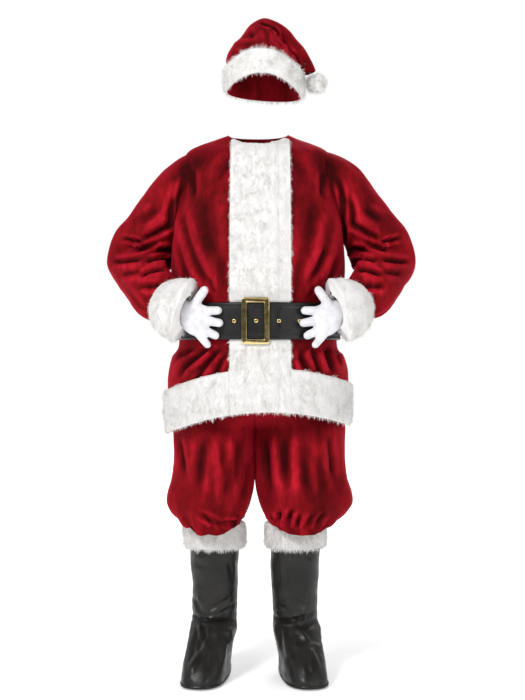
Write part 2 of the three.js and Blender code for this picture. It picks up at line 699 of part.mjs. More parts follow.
class Leg extends Form {
  constructor(side) {
    super(breechesRows, { folds: foldsOnSide(breechesFolds, side) });
    this.side = side;
  }

  // angle 90 is the outside of the wearer's left leg, and -90 that of the right.
  at(angle, t, out = 0) {
    const of = (name) => smooth(this.rows, name, t);
    const blend = clamp(of("blend"), 0, 1);
    const own = this.side * angle;
    const leg = own * DEGREE;
    const hip = (45 + own / 2) * DEGREE;
    const half = of("half") * (1 + this.side * LEG_BULK);
    const legX = of("inner") + half + half * Math.sin(leg);
    const legY = -Math.cos(leg) * (Math.cos(leg) > 0 ? of("legFront") : of("legBack"));
    const hipX = SEAM / 2 + of("across") * Math.sin(hip);
    const hipY = -Math.cos(hip) * (Math.cos(hip) > 0 ? of("front") : of("back"));
    const rise = Math.cos(leg) ** 2 * (Math.cos(leg) > 0 ? of("frontRise") : of("backRise"));
    const x = LEGS_MIDDLE + this.side * (hipX + (legX - hipX) * blend);
    const point = new THREE.Vector3(x, hipY + (legY - hipY) * blend, of("z") + rise);
    if (out === null) return point;
    const grow = out + blend * this.folded(angle, t);
    return grow ? point.addScaledVector(this.normal(angle, t), grow) : point;
  }

  normal(angle, t) {
    const [a, b] = [-1, 1].map((step) => this.at(angle + step, t, null));
    const [c, d] = [-0.03, 0.03].map((step) => this.at(angle, t + step, null));
    return d.sub(c).cross(b.sub(a)).normalize();
  }
}

const legPlaces = [1, 2, 3, 4, 5, 6, 7, 8.5, 10, 11, 12, 13, 14, 15, 16, 17];
const LEG_SEAM = 0.08; // half a seam, in degrees about a leg
for (const [name, side] of Object.entries(sideNames)) {
  const leg = new Leg(side);
  const panel = (from) => () =>
    evenly(from + LEG_SEAM, from + 180 - LEG_SEAM, 9).map((angle) => side * angle);
  add("breeches_front_" + name, wall(leg, { angles: panel(-90), places: legPlaces, thick: PLUSH }), plush);
  add("breeches_back_" + name, wall(leg, { angles: panel(90), places: legPlaces, thick: PLUSH }), plush);
}
const waist = new Form(
  breechesRows.slice(0, WAIST_ROW + 1).map((row) => ({ ...row, x: LEGS_MIDDLE })),
);
const waistAngles = roundAngles(20);
const WAIST_BOTTOM = 0.99;
add(
  "breeches_waistband",
  wall(waist, { angles: waistAngles, places: [0, WAIST_BOTTOM], thick: 2 * PLUSH, round: true }),
  plush,
);

// ---- boot tops -----------------------------------------------------------------------------------
// A black shaft and foot cover, open below, with a fur top and a bound lower edge.
const BOOTS_MIDDLE = -9;
const BOOT_OUT = 116;
const BOOT_BACK = 4;
const TOES_OUT = 11;
const BOOT_FUR = 23;
const BINDING = 1.3;
const boot = new Form(
  table(
    "y z across front back square frontRise backRise",
    [0, 472, 66, 64, 66, 2, 0, 0],
    [0, 434, 70, 69, 70, 2, 0, 0],
    [0, 400, 71, 70, 72, 2, 0, 0],
    [0, 360, 71, 70, 73, 2, 0, 0],
    [0, 300, 69, 67, 75, 2, 0, 0],
    [0, 225, 65, 64, 68, 2, 0, 0],
    [0, 178, 64, 64, 62, 2, 0, 0],
    [0, 152, 66, 70, 60, 2, 0, 0],
    [-18, 124, 67, 85, 74, 2.1, 0, 0],
    [-52, 94, 63, 100, 108, 2.2, 0, 4],
    [-94, 60, 60, 102, 153, 2.3, 0, 14],
    [-122, 28, 59, 98, 182, 2.4, 0, 26],
    [-132, 10, 59, 95, 192, 2.4, 0, 32],
    [-134, 2, 59, 94, 194, 2.4, 0, 33],
  ),
  {
    folds: table(
      "angle at push wide long",
      [0, 7, -6, 70, 0.35],
      [30, 7.8, 4, 50, 0.35],
      [-60, 6.3, -4, 50, 0.3],
      [180, 6.8, -5, 60, 0.35],
      [-20, 9, -4, 16, 0.9],
      [24, 9.6, -4, 16, 0.9],
    ),
  },
);
const bootAround = roundAngles(16);
const bootRows = boot.rows.length - 1;
const bootPlaces = [0, 1, 3, ...evenly(4, bootRows, bootRows - 4)];
for (const [name, side] of Object.entries(sideNames)) {
  const group = new THREE.Group();
  group.position.set(BOOTS_MIDDLE + side * BOOT_OUT, BOOT_BACK, 0);
  group.rotation.z = side * TOES_OUT * DEGREE;
  suit.add(group);
  const piece = (part, places, out, thick, material) => {
    const cloth = wall(boot, { angles: bootAround, places, out, thick, round: true });
    add("boot_" + part + "_" + name, cloth, material, group);
  };
  piece("shaft", bootPlaces, 0, VINYL, bootVinyl);
  piece("fur", [1, 3], SEAM + BOOT_FUR, BOOT_FUR, fur);
  piece("binding", [bootRows - 1, bootRows], SEAM + BINDING, BINDING, bootVinyl);
}

export default suit;
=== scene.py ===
"""Santa suit in its worn form, with no wearer: hat, jacket, belt, gloves, breeches and boot tops."""
import math

import bmesh
import bpy
import numpy as np
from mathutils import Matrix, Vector


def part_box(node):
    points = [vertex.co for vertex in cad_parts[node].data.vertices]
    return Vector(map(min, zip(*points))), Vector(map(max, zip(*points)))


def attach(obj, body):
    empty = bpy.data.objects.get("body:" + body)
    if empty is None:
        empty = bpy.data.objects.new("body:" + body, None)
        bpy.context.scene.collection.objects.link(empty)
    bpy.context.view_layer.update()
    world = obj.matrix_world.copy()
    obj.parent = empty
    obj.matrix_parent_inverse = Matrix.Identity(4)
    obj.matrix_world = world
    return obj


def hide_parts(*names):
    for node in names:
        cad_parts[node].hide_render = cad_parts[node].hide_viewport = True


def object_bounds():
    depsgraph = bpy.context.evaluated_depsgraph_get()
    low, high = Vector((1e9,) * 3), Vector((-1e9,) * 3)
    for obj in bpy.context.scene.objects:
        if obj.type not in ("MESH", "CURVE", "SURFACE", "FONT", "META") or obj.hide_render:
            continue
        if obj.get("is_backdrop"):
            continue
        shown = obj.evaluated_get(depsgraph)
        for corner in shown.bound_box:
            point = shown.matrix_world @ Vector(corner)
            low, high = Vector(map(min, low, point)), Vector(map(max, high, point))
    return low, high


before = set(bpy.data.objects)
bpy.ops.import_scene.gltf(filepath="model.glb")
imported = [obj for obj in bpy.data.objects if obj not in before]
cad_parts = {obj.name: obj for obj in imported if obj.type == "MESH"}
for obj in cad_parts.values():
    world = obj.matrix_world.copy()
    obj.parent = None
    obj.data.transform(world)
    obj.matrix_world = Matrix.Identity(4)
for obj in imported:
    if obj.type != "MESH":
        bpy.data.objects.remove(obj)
cad_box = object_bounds()

# ---- Jacket body ---------------------------------------------------------------------------------
# Two fronts and a back of crimson plush, sewn at the sides and shoulders and open at the neck, the
# hem and the armholes. The belly fills it, the belt cinches it, and the skirt flares in folds below.
# Tables give millimetres and heights above the floor; the frame's origin is the wearer's neck.
MM = 0.001
NECK_HEIGHT = 1515
SEAM = 0.3
PLUSH = 2.4


def table(columns, *rows):
    """Rows of numbers as one array for each named column."""
    return {name: np.array([row[i] for row in rows], float) for i, name in enumerate(columns.split())}


def smooth(values, t):
    """The value at place t, counted in rows, on a smooth curve through the rows."""
    last = len(values) - 1
    run = np.concatenate([[2 * values[0] - values[1]], values, [2 * values[last] - values[last - 1]]])
    i = np.clip(np.floor(t).astype(int), 0, last - 1)
    f = t - i
    a, b, c, d = run[i], run[i + 1], run[i + 2], run[i + 3]
    bend = (2 * a - 5 * b + 4 * c - d) * f**2 + (3 * b - a - 3 * c + d) * f**3
    return 0.5 * (2 * b + (c - a) * f + bend)


def power(value, n):
    return np.sign(value) * np.abs(value) ** (2 / n)


def unit(vectors):
    return vectors / np.maximum(np.linalg.norm(vectors, axis=-1, keepdims=True), 1e-12)


class Form:
    """The outer face of worn cloth through ring-shaped sections. Angle 0 is the front, 90 the
    wearer's left and 180 the back. A bent form's rings stand across its path."""

    usual = {"x": 0, "y": 0, "square": 2, "frontRise": 0, "backRise": 0, "tilt": 0, "turn": 0}

    def __init__(self, rows, bent=False, folds=None, side=1):
        self.rows = {name: np.full(len(rows["z"]), float(value)) for name, value in self.usual.items()}
        self.rows.update(rows)
        self.bent, self.folds, self.side = bent, folds, side
        self.last = len(rows["z"]) - 1

    def of(self, name, t):
        return smooth(self.rows[name], t)

    def centre(self, t):
        return np.stack([self.of(name, t) for name in "xyz"], -1)

    def axes(self, t):
        if not self.bent:
            turn = np.radians(self.of("turn", t))
            none = np.zeros_like(turn)
            return np.stack([np.cos(turn), none, np.sin(turn)], -1), np.stack([none, none - 1, none], -1)
        along = self.along(t)
        side = unit(np.cross(along, [0, -1, 0]))
        return side, np.cross(side, along)

    def along(self, t):
        return unit(self.centre(t + 0.05) - self.centre(t - 0.05))

    def bare(self, angle, t):
        sin, cos = np.sin(np.radians(angle)), np.cos(np.radians(angle))
        side, front = self.axes(t)
        n = self.of("square", t)
        deep = np.where(cos > 0, self.of("front", t), self.of("back", t))
        point = self.centre(t) + side * (self.of("across", t) * power(sin, n))[..., None]
        point = point + front * (deep * power(cos, n))[..., None]
        rise = np.where(cos > 0, self.of("frontRise", t), self.of("backRise", t))
        point[..., 2] += rise * cos**2 + self.of("tilt", t) * sin
        return point

    def normal(self, angle, t):
        across = self.bare(angle + 1, t) - self.bare(angle - 1, t)
        along = self.bare(angle, t + 0.05) - self.bare(angle, t - 0.05)
        normal = unit(np.cross(across, along))
        outward = self.bare(angle, t) - self.centre(t)
        return np.where((normal * outward).sum(-1, keepdims=True) < 0, -normal, normal)

    def folded(self, angle, t):
        """How far the broad folds push the cloth out."""
        push = np.zeros(np.shape(angle))
        if self.folds is None:
            return push
        lean = self.folds.get("lean", np.zeros(len(self.folds["at"])))
        for k in range(len(self.folds["at"])):
            f = {name: values[k] for name, values in self.folds.items()}
            off = (angle - self.side * f["angle"] - lean[k] * (t - f["at"]) + 540) % 360 - 180
            push = push + f["push"] * np.exp(-((off / f["wide"]) ** 2) - ((t - f["at"]) / f["long"]) ** 2)
        return push

    def at(self, angle, t, out=0.0):
        angle, t = np.broadcast_arrays(np.asarray(angle, float), np.asarray(t, float))
        grow = self.folded(angle, t) + out
        return self.bare(angle, t) + self.normal(angle, t) * grow[..., None]

    def angle_at(self, x, t):
        reach = np.clip(np.abs(x) / self.of("across", t), 0, 0.75)
        return np.sign(x) * np.degrees(np.arcsin(reach ** (self.of("square", t) / 2)))

    def rows_every(self, step, start, end, angle=90):
        """Places from start to end that lie about step millimetres apart along the form."""
        t = np.linspace(start, end, 600)
        p = self.bare(np.full(600, float(angle)), t)
        run = np.concatenate([[0], np.cumsum(np.linalg.norm(np.diff(p, axis=0), axis=1))])
        return np.interp(np.linspace(0, run[-1], max(3, int(run[-1] / step) + 1)), run, t)


bodice = Form(
    table(
        "z across front back square frontRise backRise tilt",
        [700, 261, 214, 172, 2.1, 55, -6, 12],
        [760, 261, 213, 172, 2.1, 55, -5, 12],
        [822, 261, 212, 170, 2.1, 53, -4, 11],
        [866, 259, 211, 166, 2.1, 32, 0, 6],
        [908, 247, 211, 159, 2.1, 10, 0, 2],
        [940, 227, 207, 150, 2.1, 0, 0, 0],
        [1071, 227, 207, 150, 2.1, 0, 0, 0],
        [1098, 240, 217, 159, 2.1, 0, 0, 0],
        [1140, 250, 222, 165, 2.1, 0, 0, 0],
        [1205, 249, 213, 166, 2.1, 0, 0, 0],
        [1290, 242, 189, 160, 2.1, 0, 0, 0],
        [1370, 232, 160, 148, 2.15, 0, 0, 0],
        [1430, 222, 133, 128, 2.2, 0, 0, 0],
        [1466, 215, 117, 112, 2.2, -2, 0, 0],
        [1490, 203, 103, 96, 2.2, -5, 0, 0],
        [1506, 181, 93, 84, 2.1, -10, 0, 0],
        [1520, 148, 86, 76, 2, -20, 0, 0],
        [1532, 114, 81, 69, 2, -32, 0, 0],
        [1543, 87, 77, 64, 2, -46, 0, 0],
    ),
    folds=table(
        "angle at push wide long lean",
        [52, 9.2, 7, 10, 2.2, 6],
        [-56, 8.8, 8, 10, 2.4, -7],
        [-33, 4.1, 5, 6, 1.2, -9],
        [64, 3.6, 5, 8, 1.2, 5],
        [150, 9, 6, 14, 3, 0],
        [-148, 8.5, 6, 13, 3, 0],
        [118, 3.4, 6, 9, 1.4, 0],
        [-120, 3.6, 6, 9, 1.4, 0],
        [172, 3.3, 5, 10, 1.3, 0],
    ),
)
HEM_TOP_ROW, BELT_ROWS, NECK_ROW = 2, (5, 6), 18
FRONT_EDGE, TRIM_RIGHT_EDGE, TRIM_LAP, TRIM_LEFT_EDGE = 7, -76, 56, 88
CLOTH_STEP = 6.5
BODICE_FRONT_DEPTH, BODICE_BACK_DEPTH, SLEEVE_FRONT_DEPTH, SLEEVE_BACK_DEPTH = 2.3, 2.0, 2.6, 2.2
# ARMHOLE_SHADE is painted shade: it is taken off the fold attribute near the armhole seams.
ARMHOLE_SHADE, ARMHOLE_REACH, SLEEVE_HEAD_REACH = 1.1, 13, 15

ARMS_MIDDLE = 10
sleeve_rows = table(
    "x y z across front back",
    [140, 6, 1419, 88, 86, 86],
    [198, 6, 1398, 88, 87, 86],
    [243, 6, 1364, 83, 86, 84],
    [281, 8, 1321, 78, 84, 80],
    [311, 12, 1271, 84, 80, 78],
    [340, 14, 1222, 93, 76, 76],
    [355, 2, 1184, 91, 68, 72],
    [346, -46, 1144, 73, 60, 64],
    [316, -96, 1104, 71, 56, 58],
    [290, -132, 1072, 66, 50, 50],
    [264, -158, 1056, 46, 36, 36],
)
sleeve_folds = table(
    "angle at push wide long",
    [-60, 5.6, -9, 26, 0.4],
    [-20, 6.2, -9, 30, 0.4],
    [20, 5.4, -7, 22, 0.5],
    [-10, 3.2, -6, 16, 1.2],
    [60, 7.4, 6, 22, 0.7],
    [20, 8, -6, 22, 0.5],
    [170, 5.8, -8, 30, 0.5],
    [200, 6.8, -7, 24, 0.5],
    [150, 3.6, 6, 24, 0.9],
)
cuff_rows = table(
    "x y z across front back",
    [271, -152, 1059, 50, 37, 37],
    [256, -170, 1052, 63, 44, 42],
    [235, -191, 1043, 75, 49, 42],
    [208, -202, 1034, 80, 48, 38],
)
SIDES = {"left": 1, "right": -1}


def on_side(rows, side):
    """Rows of an arm on the wearer's left (1) or right (-1), alike about the arms' own middle."""
    return {**rows, "x": ARMS_MIDDLE + side * rows["x"]}


sleeves = {name: Form(on_side(sleeve_rows, side), bent=True, folds=sleeve_folds, side=side)
           for name, side in SIDES.items()}
cuffs = {name: Form(on_side(cuff_rows, side), bent=True, side=side) for name, side in SIDES.items()}


def outside_upright(form, points, out=0.0):
    """Roughly how many millimetres points lie outside an upright form."""
    low, high = np.zeros(len(points)), np.full(len(points), float(form.last))
    angle = np.degrees(np.arctan2(points[:, 0], -points[:, 1]))
    for _ in range(22):
        mid = (low + high) / 2
        above = form.bare(angle, mid)[:, 2] > points[:, 2]
        high, low = np.where(above, mid, high), np.where(above, low, mid)
    n = form.of("square", low)
    across = form.of("across", low) + out
    deep = np.where(points[:, 1] < 0, form.of("front", low), form.of("back", low)) + out
    share = (np.abs(points[:, 0] / across) ** n + np.abs(points[:, 1] / deep) ** n) ** (1 / n)
    return (share - 1) * np.minimum(across, deep)


def outside_bent(form, points, out, first, last):
    """Roughly how many millimetres points lie outside a bent form between two of its rows."""
    low, high = np.full(len(points), float(first)), np.full(len(points), float(last))
    for _ in range(22):
        mid = (low + high) / 2
        ahead = ((points - form.centre(mid)) * form.along(mid)).sum(-1) > 0
        low, high = np.where(ahead, mid, low), np.where(ahead, high, mid)
    side, front = form.axes(low)
    off = points - form.centre(low)
    a, b, along = (off * side).sum(-1), (off * front).sum(-1), (off * form.along(low)).sum(-1)
    deep = np.where(b > 0, form.of("front", low), form.of("back", low)) + out
    share = np.hypot(a / (form.of("across", low) + out), b / deep)
    return np.maximum((share - 1) * deep, np.abs(along))


def lumps(points, size, seed):
    """Smooth seeded unevenness, about -1 to 1, whose bumps are about size millimetres apart."""
    draw = np.random.default_rng(seed)
    total = np.zeros(points.shape[:-1])
    for _ in range(7):
        direction = unit(draw.normal(size=3)) * 2 * math.pi / (size * draw.uniform(0.7, 1.7))
        total = total + np.sin(points @ direction + draw.uniform(0, 6.3))
    return total / 3.2


def creased(points, creases, facing):
    """How far listed creases push the cloth out. Each runs on a curve from start past bend to
    end, seen from the front or back; its trough is depth deep and wide to each side, and its
    shoulders rise by lift."""
    push = np.zeros(points.shape[:-1])
    flat = points[..., [0, 2]]
    s = np.linspace(0, 1, 25)
    for k in range(len(creases["x1"])):
        c = {name: values[k] for name, values in creases.items()}
        line = np.outer((1 - s) ** 2, [c["x1"], c["z1"]]) + np.outer(s**2, [c["x3"], c["z3"]])
        line = line + np.outer(2 * s * (1 - s), [c["x2"], c["z2"]])
        reach = 3.2 * c["wide"]
        near = (flat > line.min(0) - reach).all(-1) & (flat < line.max(0) + reach).all(-1) & (facing > 0)
        if not near.any():
            continue
        p = flat[near]
        a, ab = line[:-1], np.diff(line, axis=0)
        u = ((p[:, None] - a) * ab).sum(-1) / (ab**2).sum(-1)
        u = np.clip(u, 0, 1)
        d = np.linalg.norm(p[:, None] - a - u[..., None] * ab, axis=-1)
        best = d.argmin(1)
        rows = np.arange(len(p))
        share = (best + u[rows, best]) / len(ab)
        x = d[rows, best] / c["wide"]
        taper = np.clip(np.minimum(share / 0.3, (1 - share) / 0.3), 0, 1)
        taper = taper * taper * (3 - 2 * taper)
        profile = c["lift"] * np.exp(-((x - 1.7) ** 2) / 0.55) - c["depth"] * np.exp(-(x**2))
        push[near] += profile * np.maximum(taper, 0.06) * facing[near]
    return push


def clipped(points, faces, field):
    """The part of a surface where field is above nought, cut cleanly along field = 0."""
    points, made, kept, new = list(map(tuple, points)), {}, [], []

    def crossing(a, b):
        key = (min(a, b), max(a, b))
        if key not in made:
            f = field[a] / (field[a] - field[b])
            made[key] = len(points)
            points.append(tuple(np.array(points[a]) + f * (np.array(points[b]) - np.array(points[a]))))
        return made[key]

    for face in faces:
        inside = [field[k] > 0 for k in face]
        if all(inside):
            kept.append(list(face))
        elif any(inside):
            cut = []
            for k, a in enumerate(face):
                b = face[(k + 1) % len(face)]
                if inside[k]:
                    cut.append(a)
                if inside[k] != inside[(k + 1) % len(face)]:
                    cut.append(crossing(a, b))
            new.append(cut)
    faces = kept + new
    used = np.unique(np.concatenate([np.array(f) for f in faces]))
    place = {old: i for i, old in enumerate(used)}
    return np.array([points[k] for k in used]), [[place[k] for k in f] for f in faces]


def grid_faces(rows, columns, closed=False):
    """Quads of a grid of points; closed joins its last column to its first."""
    j, i = np.meshgrid(np.arange(rows - 1), np.arange(columns if closed else columns - 1), indexing="ij")
    k = (i + 1) % columns
    quads = np.stack([j * columns + i, j * columns + k, (j + 1) * columns + k, (j + 1) * columns + i], -1)
    return quads.reshape(-1, 4).tolist()


def only(piece):
    bpy.ops.object.select_all(action="DESELECT")
    piece.select_set(True)
    bpy.context.view_layer.objects.active = piece


def new_piece(name, points, faces, material, inward_from=None):
    """A mesh from millimetres above the floor, its faces turned away from inward_from's points. A
    fourth column of points is kept as the attribute "fold": -1 down in a crease, 1 on a ridge; the
    plush paints shade and highlight from it."""
    points = np.asarray(points, float)
    place = (points[:, :3] - [0, 0, NECK_HEIGHT]) * MM
    if inward_from is not None:
        tri = np.array([f[:3] for f in faces])
        a, b, c = place[tri[:, 0]], place[tri[:, 1]], place[tri[:, 2]]
        inward = (np.asarray(inward_from) - [0, 0, NECK_HEIGHT]) * MM - a
        if (np.cross(b - a, c - a) * inward).sum() > 0:
            faces = [list(reversed(f)) for f in faces]
    mesh = bpy.data.meshes.new(name)
    mesh.from_pydata(place.tolist(), [], faces)
    mesh.update()
    piece = bpy.data.objects.new(name, mesh)
    bpy.context.scene.collection.objects.link(piece)
    mesh.materials.append(material)
    mesh.shade_smooth()
    if points.shape[1] == 4:
        mesh.attributes.new("fold", "FLOAT", "POINT").data.foreach_set("value", points[:, 3])
    return piece


def with_fold(points, push, full=7.0):
    """Points of a grid as rows of x, y, z and how deep in a crease or high on a ridge they lie."""
    return np.concatenate([points, np.clip(push / full, -1, 1)[..., None]], -1).reshape(-1, 4)


def thicken(piece, thick):
    """Solidify inwards, as the cloth's own thickness, and apply it."""
    only(piece)
    modifier = piece.modifiers.new("thickness", "SOLIDIFY")
    modifier.thickness, modifier.offset = thick * MM, -1
    modifier.use_even_offset = False
    bpy.ops.object.modifier_apply(modifier=modifier.name)
    bpy.ops.object.shade_smooth_by_angle(angle=math.radians(50))


def finished(piece, node, flat=None):
    piece.name = node + "_made"
    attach(piece, "root")
    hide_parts(node)


# The nap group gives the plush its brushed patches, crushed marks and grain, as masks and a height.
def nodes_of(tree):
    def node(kind, x=0, y=0, **settings):
        made = tree.nodes.new(kind)
        made.location = (x, y)
        for name, value in settings.items():
            setattr(made, name, value)
        return made

    return node, tree.links.new


def group_sockets(tree, inputs, outputs):
    for name, kind, value in inputs:
        socket = tree.interface.new_socket(name, in_out="INPUT", socket_type=kind)
        if value is not None:
            socket.default_value = value
    for name, kind in outputs:
        tree.interface.new_socket(name, in_out="OUTPUT", socket_type=kind)


def new_material(name):
    material = bpy.data.materials.new(name)
    material.use_nodes = True
    tree = material.node_tree
    shader = tree.nodes["Principled BSDF"]
    node, link = nodes_of(tree)
    return material, shader, node, link


nap = bpy.data.node_groups.new("plush_nap", "ShaderNodeTree")
group_sockets(
    nap,
    [("Vector", "NodeSocketVector", None), ("Brush", "NodeSocketFloat", 9.0),
     ("Grain", "NodeSocketFloat", 900.0)],
    [("Patches", "NodeSocketFloat"), ("Marks", "NodeSocketFloat"), ("Height", "NodeSocketFloat")],
)
node, link = nodes_of(nap)
into, out = node("NodeGroupInput", -900), node("NodeGroupOutput", 500)
stretch = node("ShaderNodeMapping", -700)
stretch.inputs["Scale"].default_value = (1.0, 1.0, 0.45)
link(into.outputs["Vector"], stretch.inputs["Vector"])
patches = node("ShaderNodeTexNoise", -480, 200)
patches.inputs["Detail"].default_value, patches.inputs["Roughness"].default_value = 4.0, 0.55
link(stretch.outputs["Vector"], patches.inputs["Vector"])
link(into.outputs["Brush"], patches.inputs["Scale"])
times = node("ShaderNodeMath", -700, -100, operation="MULTIPLY")
times.inputs[1].default_value = 7.0
link(into.outputs["Brush"], times.inputs[0])
marks = node("ShaderNodeTexNoise", -480, -60)
marks.inputs["Detail"].default_value, marks.inputs["Roughness"].default_value = 6.0, 0.68
link(stretch.outputs["Vector"], marks.inputs["Vector"])
link(times.outputs[0], marks.inputs["Scale"])
grain = node("ShaderNodeTexNoise", -480, -320)
grain.inputs["Detail"].default_value = 2.0
link(into.outputs["Vector"], grain.inputs["Vector"])
link(into.outputs["Grain"], grain.inputs["Scale"])
height = node("ShaderNodeMath", -200, -200, operation="MULTIPLY_ADD")
height.inputs[1].default_value = 0.35
link(grain.outputs["Fac"], height.inputs[0])
link(marks.outputs["Fac"], height.inputs[2])
for name, source in (("Patches", patches.outputs["Fac"]), ("Marks", marks.outputs["Fac"]),
                     ("Height", height.outputs[0])):
    link(source, out.inputs[name])


def ramp(node, link, source, stops, x=0, y=0):
    """A colour ramp on a mask: stops are (place, (r, g, b))."""
    made = node("ShaderNodeValToRGB", x, y)
    elements = made.color_ramp.elements
    while len(elements) < len(stops):
        elements.new(0.5)
    for element, (place, colour) in zip(elements, stops):
        element.position = place
        element.color = (*colour, 1)
    link(source, made.inputs["Fac"])
    return made.outputs["Color"]


def mix(node, link, a, b, factor, x=0, y=0, blend="MIX"):
    """Mix of two colours by a factor; each is a socket or a plain value."""
    made = node("ShaderNodeMix", x, y, data_type="RGBA", blend_type=blend)
    for socket, value in ((made.inputs[6], a), (made.inputs[7], b), (made.inputs[0], factor)):
        if hasattr(value, "links"):
            link(value, socket)
        else:
            socket.default_value = value
    return made.outputs[2]


def bump(node, link, shader, height, strength, distance, x=0, y=0):
    made = node("ShaderNodeBump", x, y)
    made.inputs["Strength"].default_value, made.inputs["Distance"].default_value = strength, distance
    link(height, made.inputs["Height"])
    link(made.outputs["Normal"], shader.inputs["Normal"])


def plush_material():
    """Crimson velvet plush: dark where the pile is looked into and, as a painted sheen, brighter crimson
    where it is seen edge-on; the fold attribute adds painted shade in creases and painted highlight on
    ridges.
    """
    material, shader, node, link = new_material("crimson_plush")
    place = node("ShaderNodeTexCoord", -900)
    marks = node("ShaderNodeGroup", -700)
    marks.node_tree = nap
    link(place.outputs["Object"], marks.inputs["Vector"])
    deep = ramp(node, link, marks.outputs["Patches"],
                [(0.30, (0.090, 0.0014, 0.0032)), (0.50, (0.165, 0.0024, 0.0052)),
                 (0.70, (0.255, 0.0042, 0.0098))], -450, 200)
    worn = ramp(node, link, marks.outputs["Marks"],
                [(0.34, (0.55, 0.55, 0.55)), (0.52, (1.0, 1.0, 1.0)), (0.70, (1.30, 1.4, 1.45))], -450, -50)
    base = mix(node, link, deep, worn, 0.75, -200, 100, "MULTIPLY")
    fold = node("ShaderNodeAttribute", -700, -400, attribute_name="fold")
    lift = node("ShaderNodeMath", -560, -400, operation="MULTIPLY_ADD")
    lift.inputs[1].default_value, lift.inputs[2].default_value = 0.5, 0.5
    link(fold.outputs["Fac"], lift.inputs[0])
    # Painted shade and highlight: the fold attribute darkens the colour in crease troughs and at the armhole
    # seams and brightens it on the folds' ridges.
    painted_fold_shade = ramp(node, link, lift.outputs[0], [(0.05, (0.22, 0.2, 0.2)), (0.36, (0.68, 0.66, 0.66)),
                   (0.54, (1.0, 1.0, 1.0)), (0.85, (1.8, 2.2, 2.4))], -400, -400)
    base = mix(node, link, base, painted_fold_shade, 1.0, -100, 0, "MULTIPLY")
    # Painted sheen: towards the grazing edges the colour turns to a brighter crimson rim colour.
    facing = node("ShaderNodeLayerWeight", -450, 400)
    facing.inputs["Blend"].default_value = 0.36
    stops = [(0.18, (0, 0, 0)), (0.80, (0.75, 0.75, 0.75))]
    edge = ramp(node, link, facing.outputs["Facing"], stops, -250, 400)
    colour = mix(node, link, base, (0.36, 0.005, 0.017, 1), edge, 0, 200)
    link(colour, shader.inputs["Base Color"])
    shader.inputs["Roughness"].default_value = 0.82
    shader.inputs["Specular IOR Level"].default_value = 0.06
    shader.inputs["Sheen Weight"].default_value = 0.30
    shader.inputs["Sheen Roughness"].default_value = 0.34
    shader.inputs["Sheen Tint"].default_value = (1.0, 0.05, 0.09, 1)
    bump(node, link, shader, marks.outputs["Height"], 0.35, 0.0012, 0, -200)
    return material


plush = plush_material()


def panel_grid(form, t, low, high, step=CLOTH_STEP):
    """Angles and places of a panel's grid: low and high are its edges at each place of t."""
    widest = np.max(np.abs(high - low)) / 360 * 2 * math.pi * np.max(form.rows["across"])
    share = np.linspace(0, 1, max(4, int(widest / step)))
    return low[:, None] + (high - low)[:, None] * share, np.repeat(t[:, None], len(share), 1)


# Creases of the jacket's front, in millimetres across and above the floor, and those of its back.
bodice_front_creases = table(
    "x1 z1 x2 z2 x3 z3 wide depth lift",
    [-212, 1330, -196, 1190, -118, 1075, 12, 3.4, 3.2],
    [-150, 1380, -158, 1260, -120, 1150, 26, 2.6, 1.4],
    [-186, 1440, -176, 1400, -178, 1340, 9, 3.0, 1.6],
    [-220, 1240, -214, 1170, -180, 1100, 10, 2.6, 1.8],
    [-100, 1190, -98, 1130, -92, 1082, 14, 2.2, 1.2],
    [-130, 1130, -128, 1105, -120, 1078, 7, 2.2, 1.2],
    [-62, 1470, -96, 1440, -112, 1390, 16, 1.8, 1.2],
    [208, 1330, 190, 1200, 150, 1088, 14, 3.0, 2.4],
    [150, 1360, 156, 1250, 128, 1140, 24, 2.4, 1.4],
    [196, 1220, 176, 1170, 128, 1100, 10, 2.8, 2.2],
    [120, 1190, 112, 1130, 108, 1080, 13, 2.0, 1.2],
    [226, 1200, 206, 1140, 176, 1096, 8, 2.8, 1.8],
    [182, 1430, 176, 1390, 182, 1340, 9, 2.6, 1.6],
    [92, 1470, 118, 1440, 128, 1390, 16, 1.8, 1.2],
    [-96, 938, -128, 900, -176, 852, 9, 5.5, 3.2],
    [-124, 936, -168, 915, -214, 866, 9, 5.0, 2.6],
    [-86, 928, -104, 890, -120, 848, 8, 3.4, 2.4],
    [-156, 940, -196, 925, -236, 900, 10, 4.6, 2.2],
    [-188, 902, -208, 880, -222, 842, 9, 3.2, 2.0],
    [-148, 868, -166, 850, -178, 832, 7, 2.6, 2.2],
    [150, 938, 158, 900, 176, 850, 9, 4.6, 3.0],
    [184, 940, 198, 900, 214, 856, 9, 4.6, 2.6],
    [118, 936, 122, 900, 130, 862, 9, 3.2, 2.2],
    [214, 936, 226, 910, 236, 876, 8, 3.2, 2.0],
    [104, 918, 128, 882, 160, 862, 9, 2.8, 2.0],
    [-168, 1074, -172, 1090, -180, 1108, 6, 2.6, 1.4],
    [-140, 1073, -142, 1088, -148, 1104, 6, 2.2, 1.2],
    [172, 1073, 178, 1090, 188, 1106, 6, 2.4, 1.4],
    [142, 1073, 146, 1086, 152, 1102, 6, 2.2, 1.2],
)
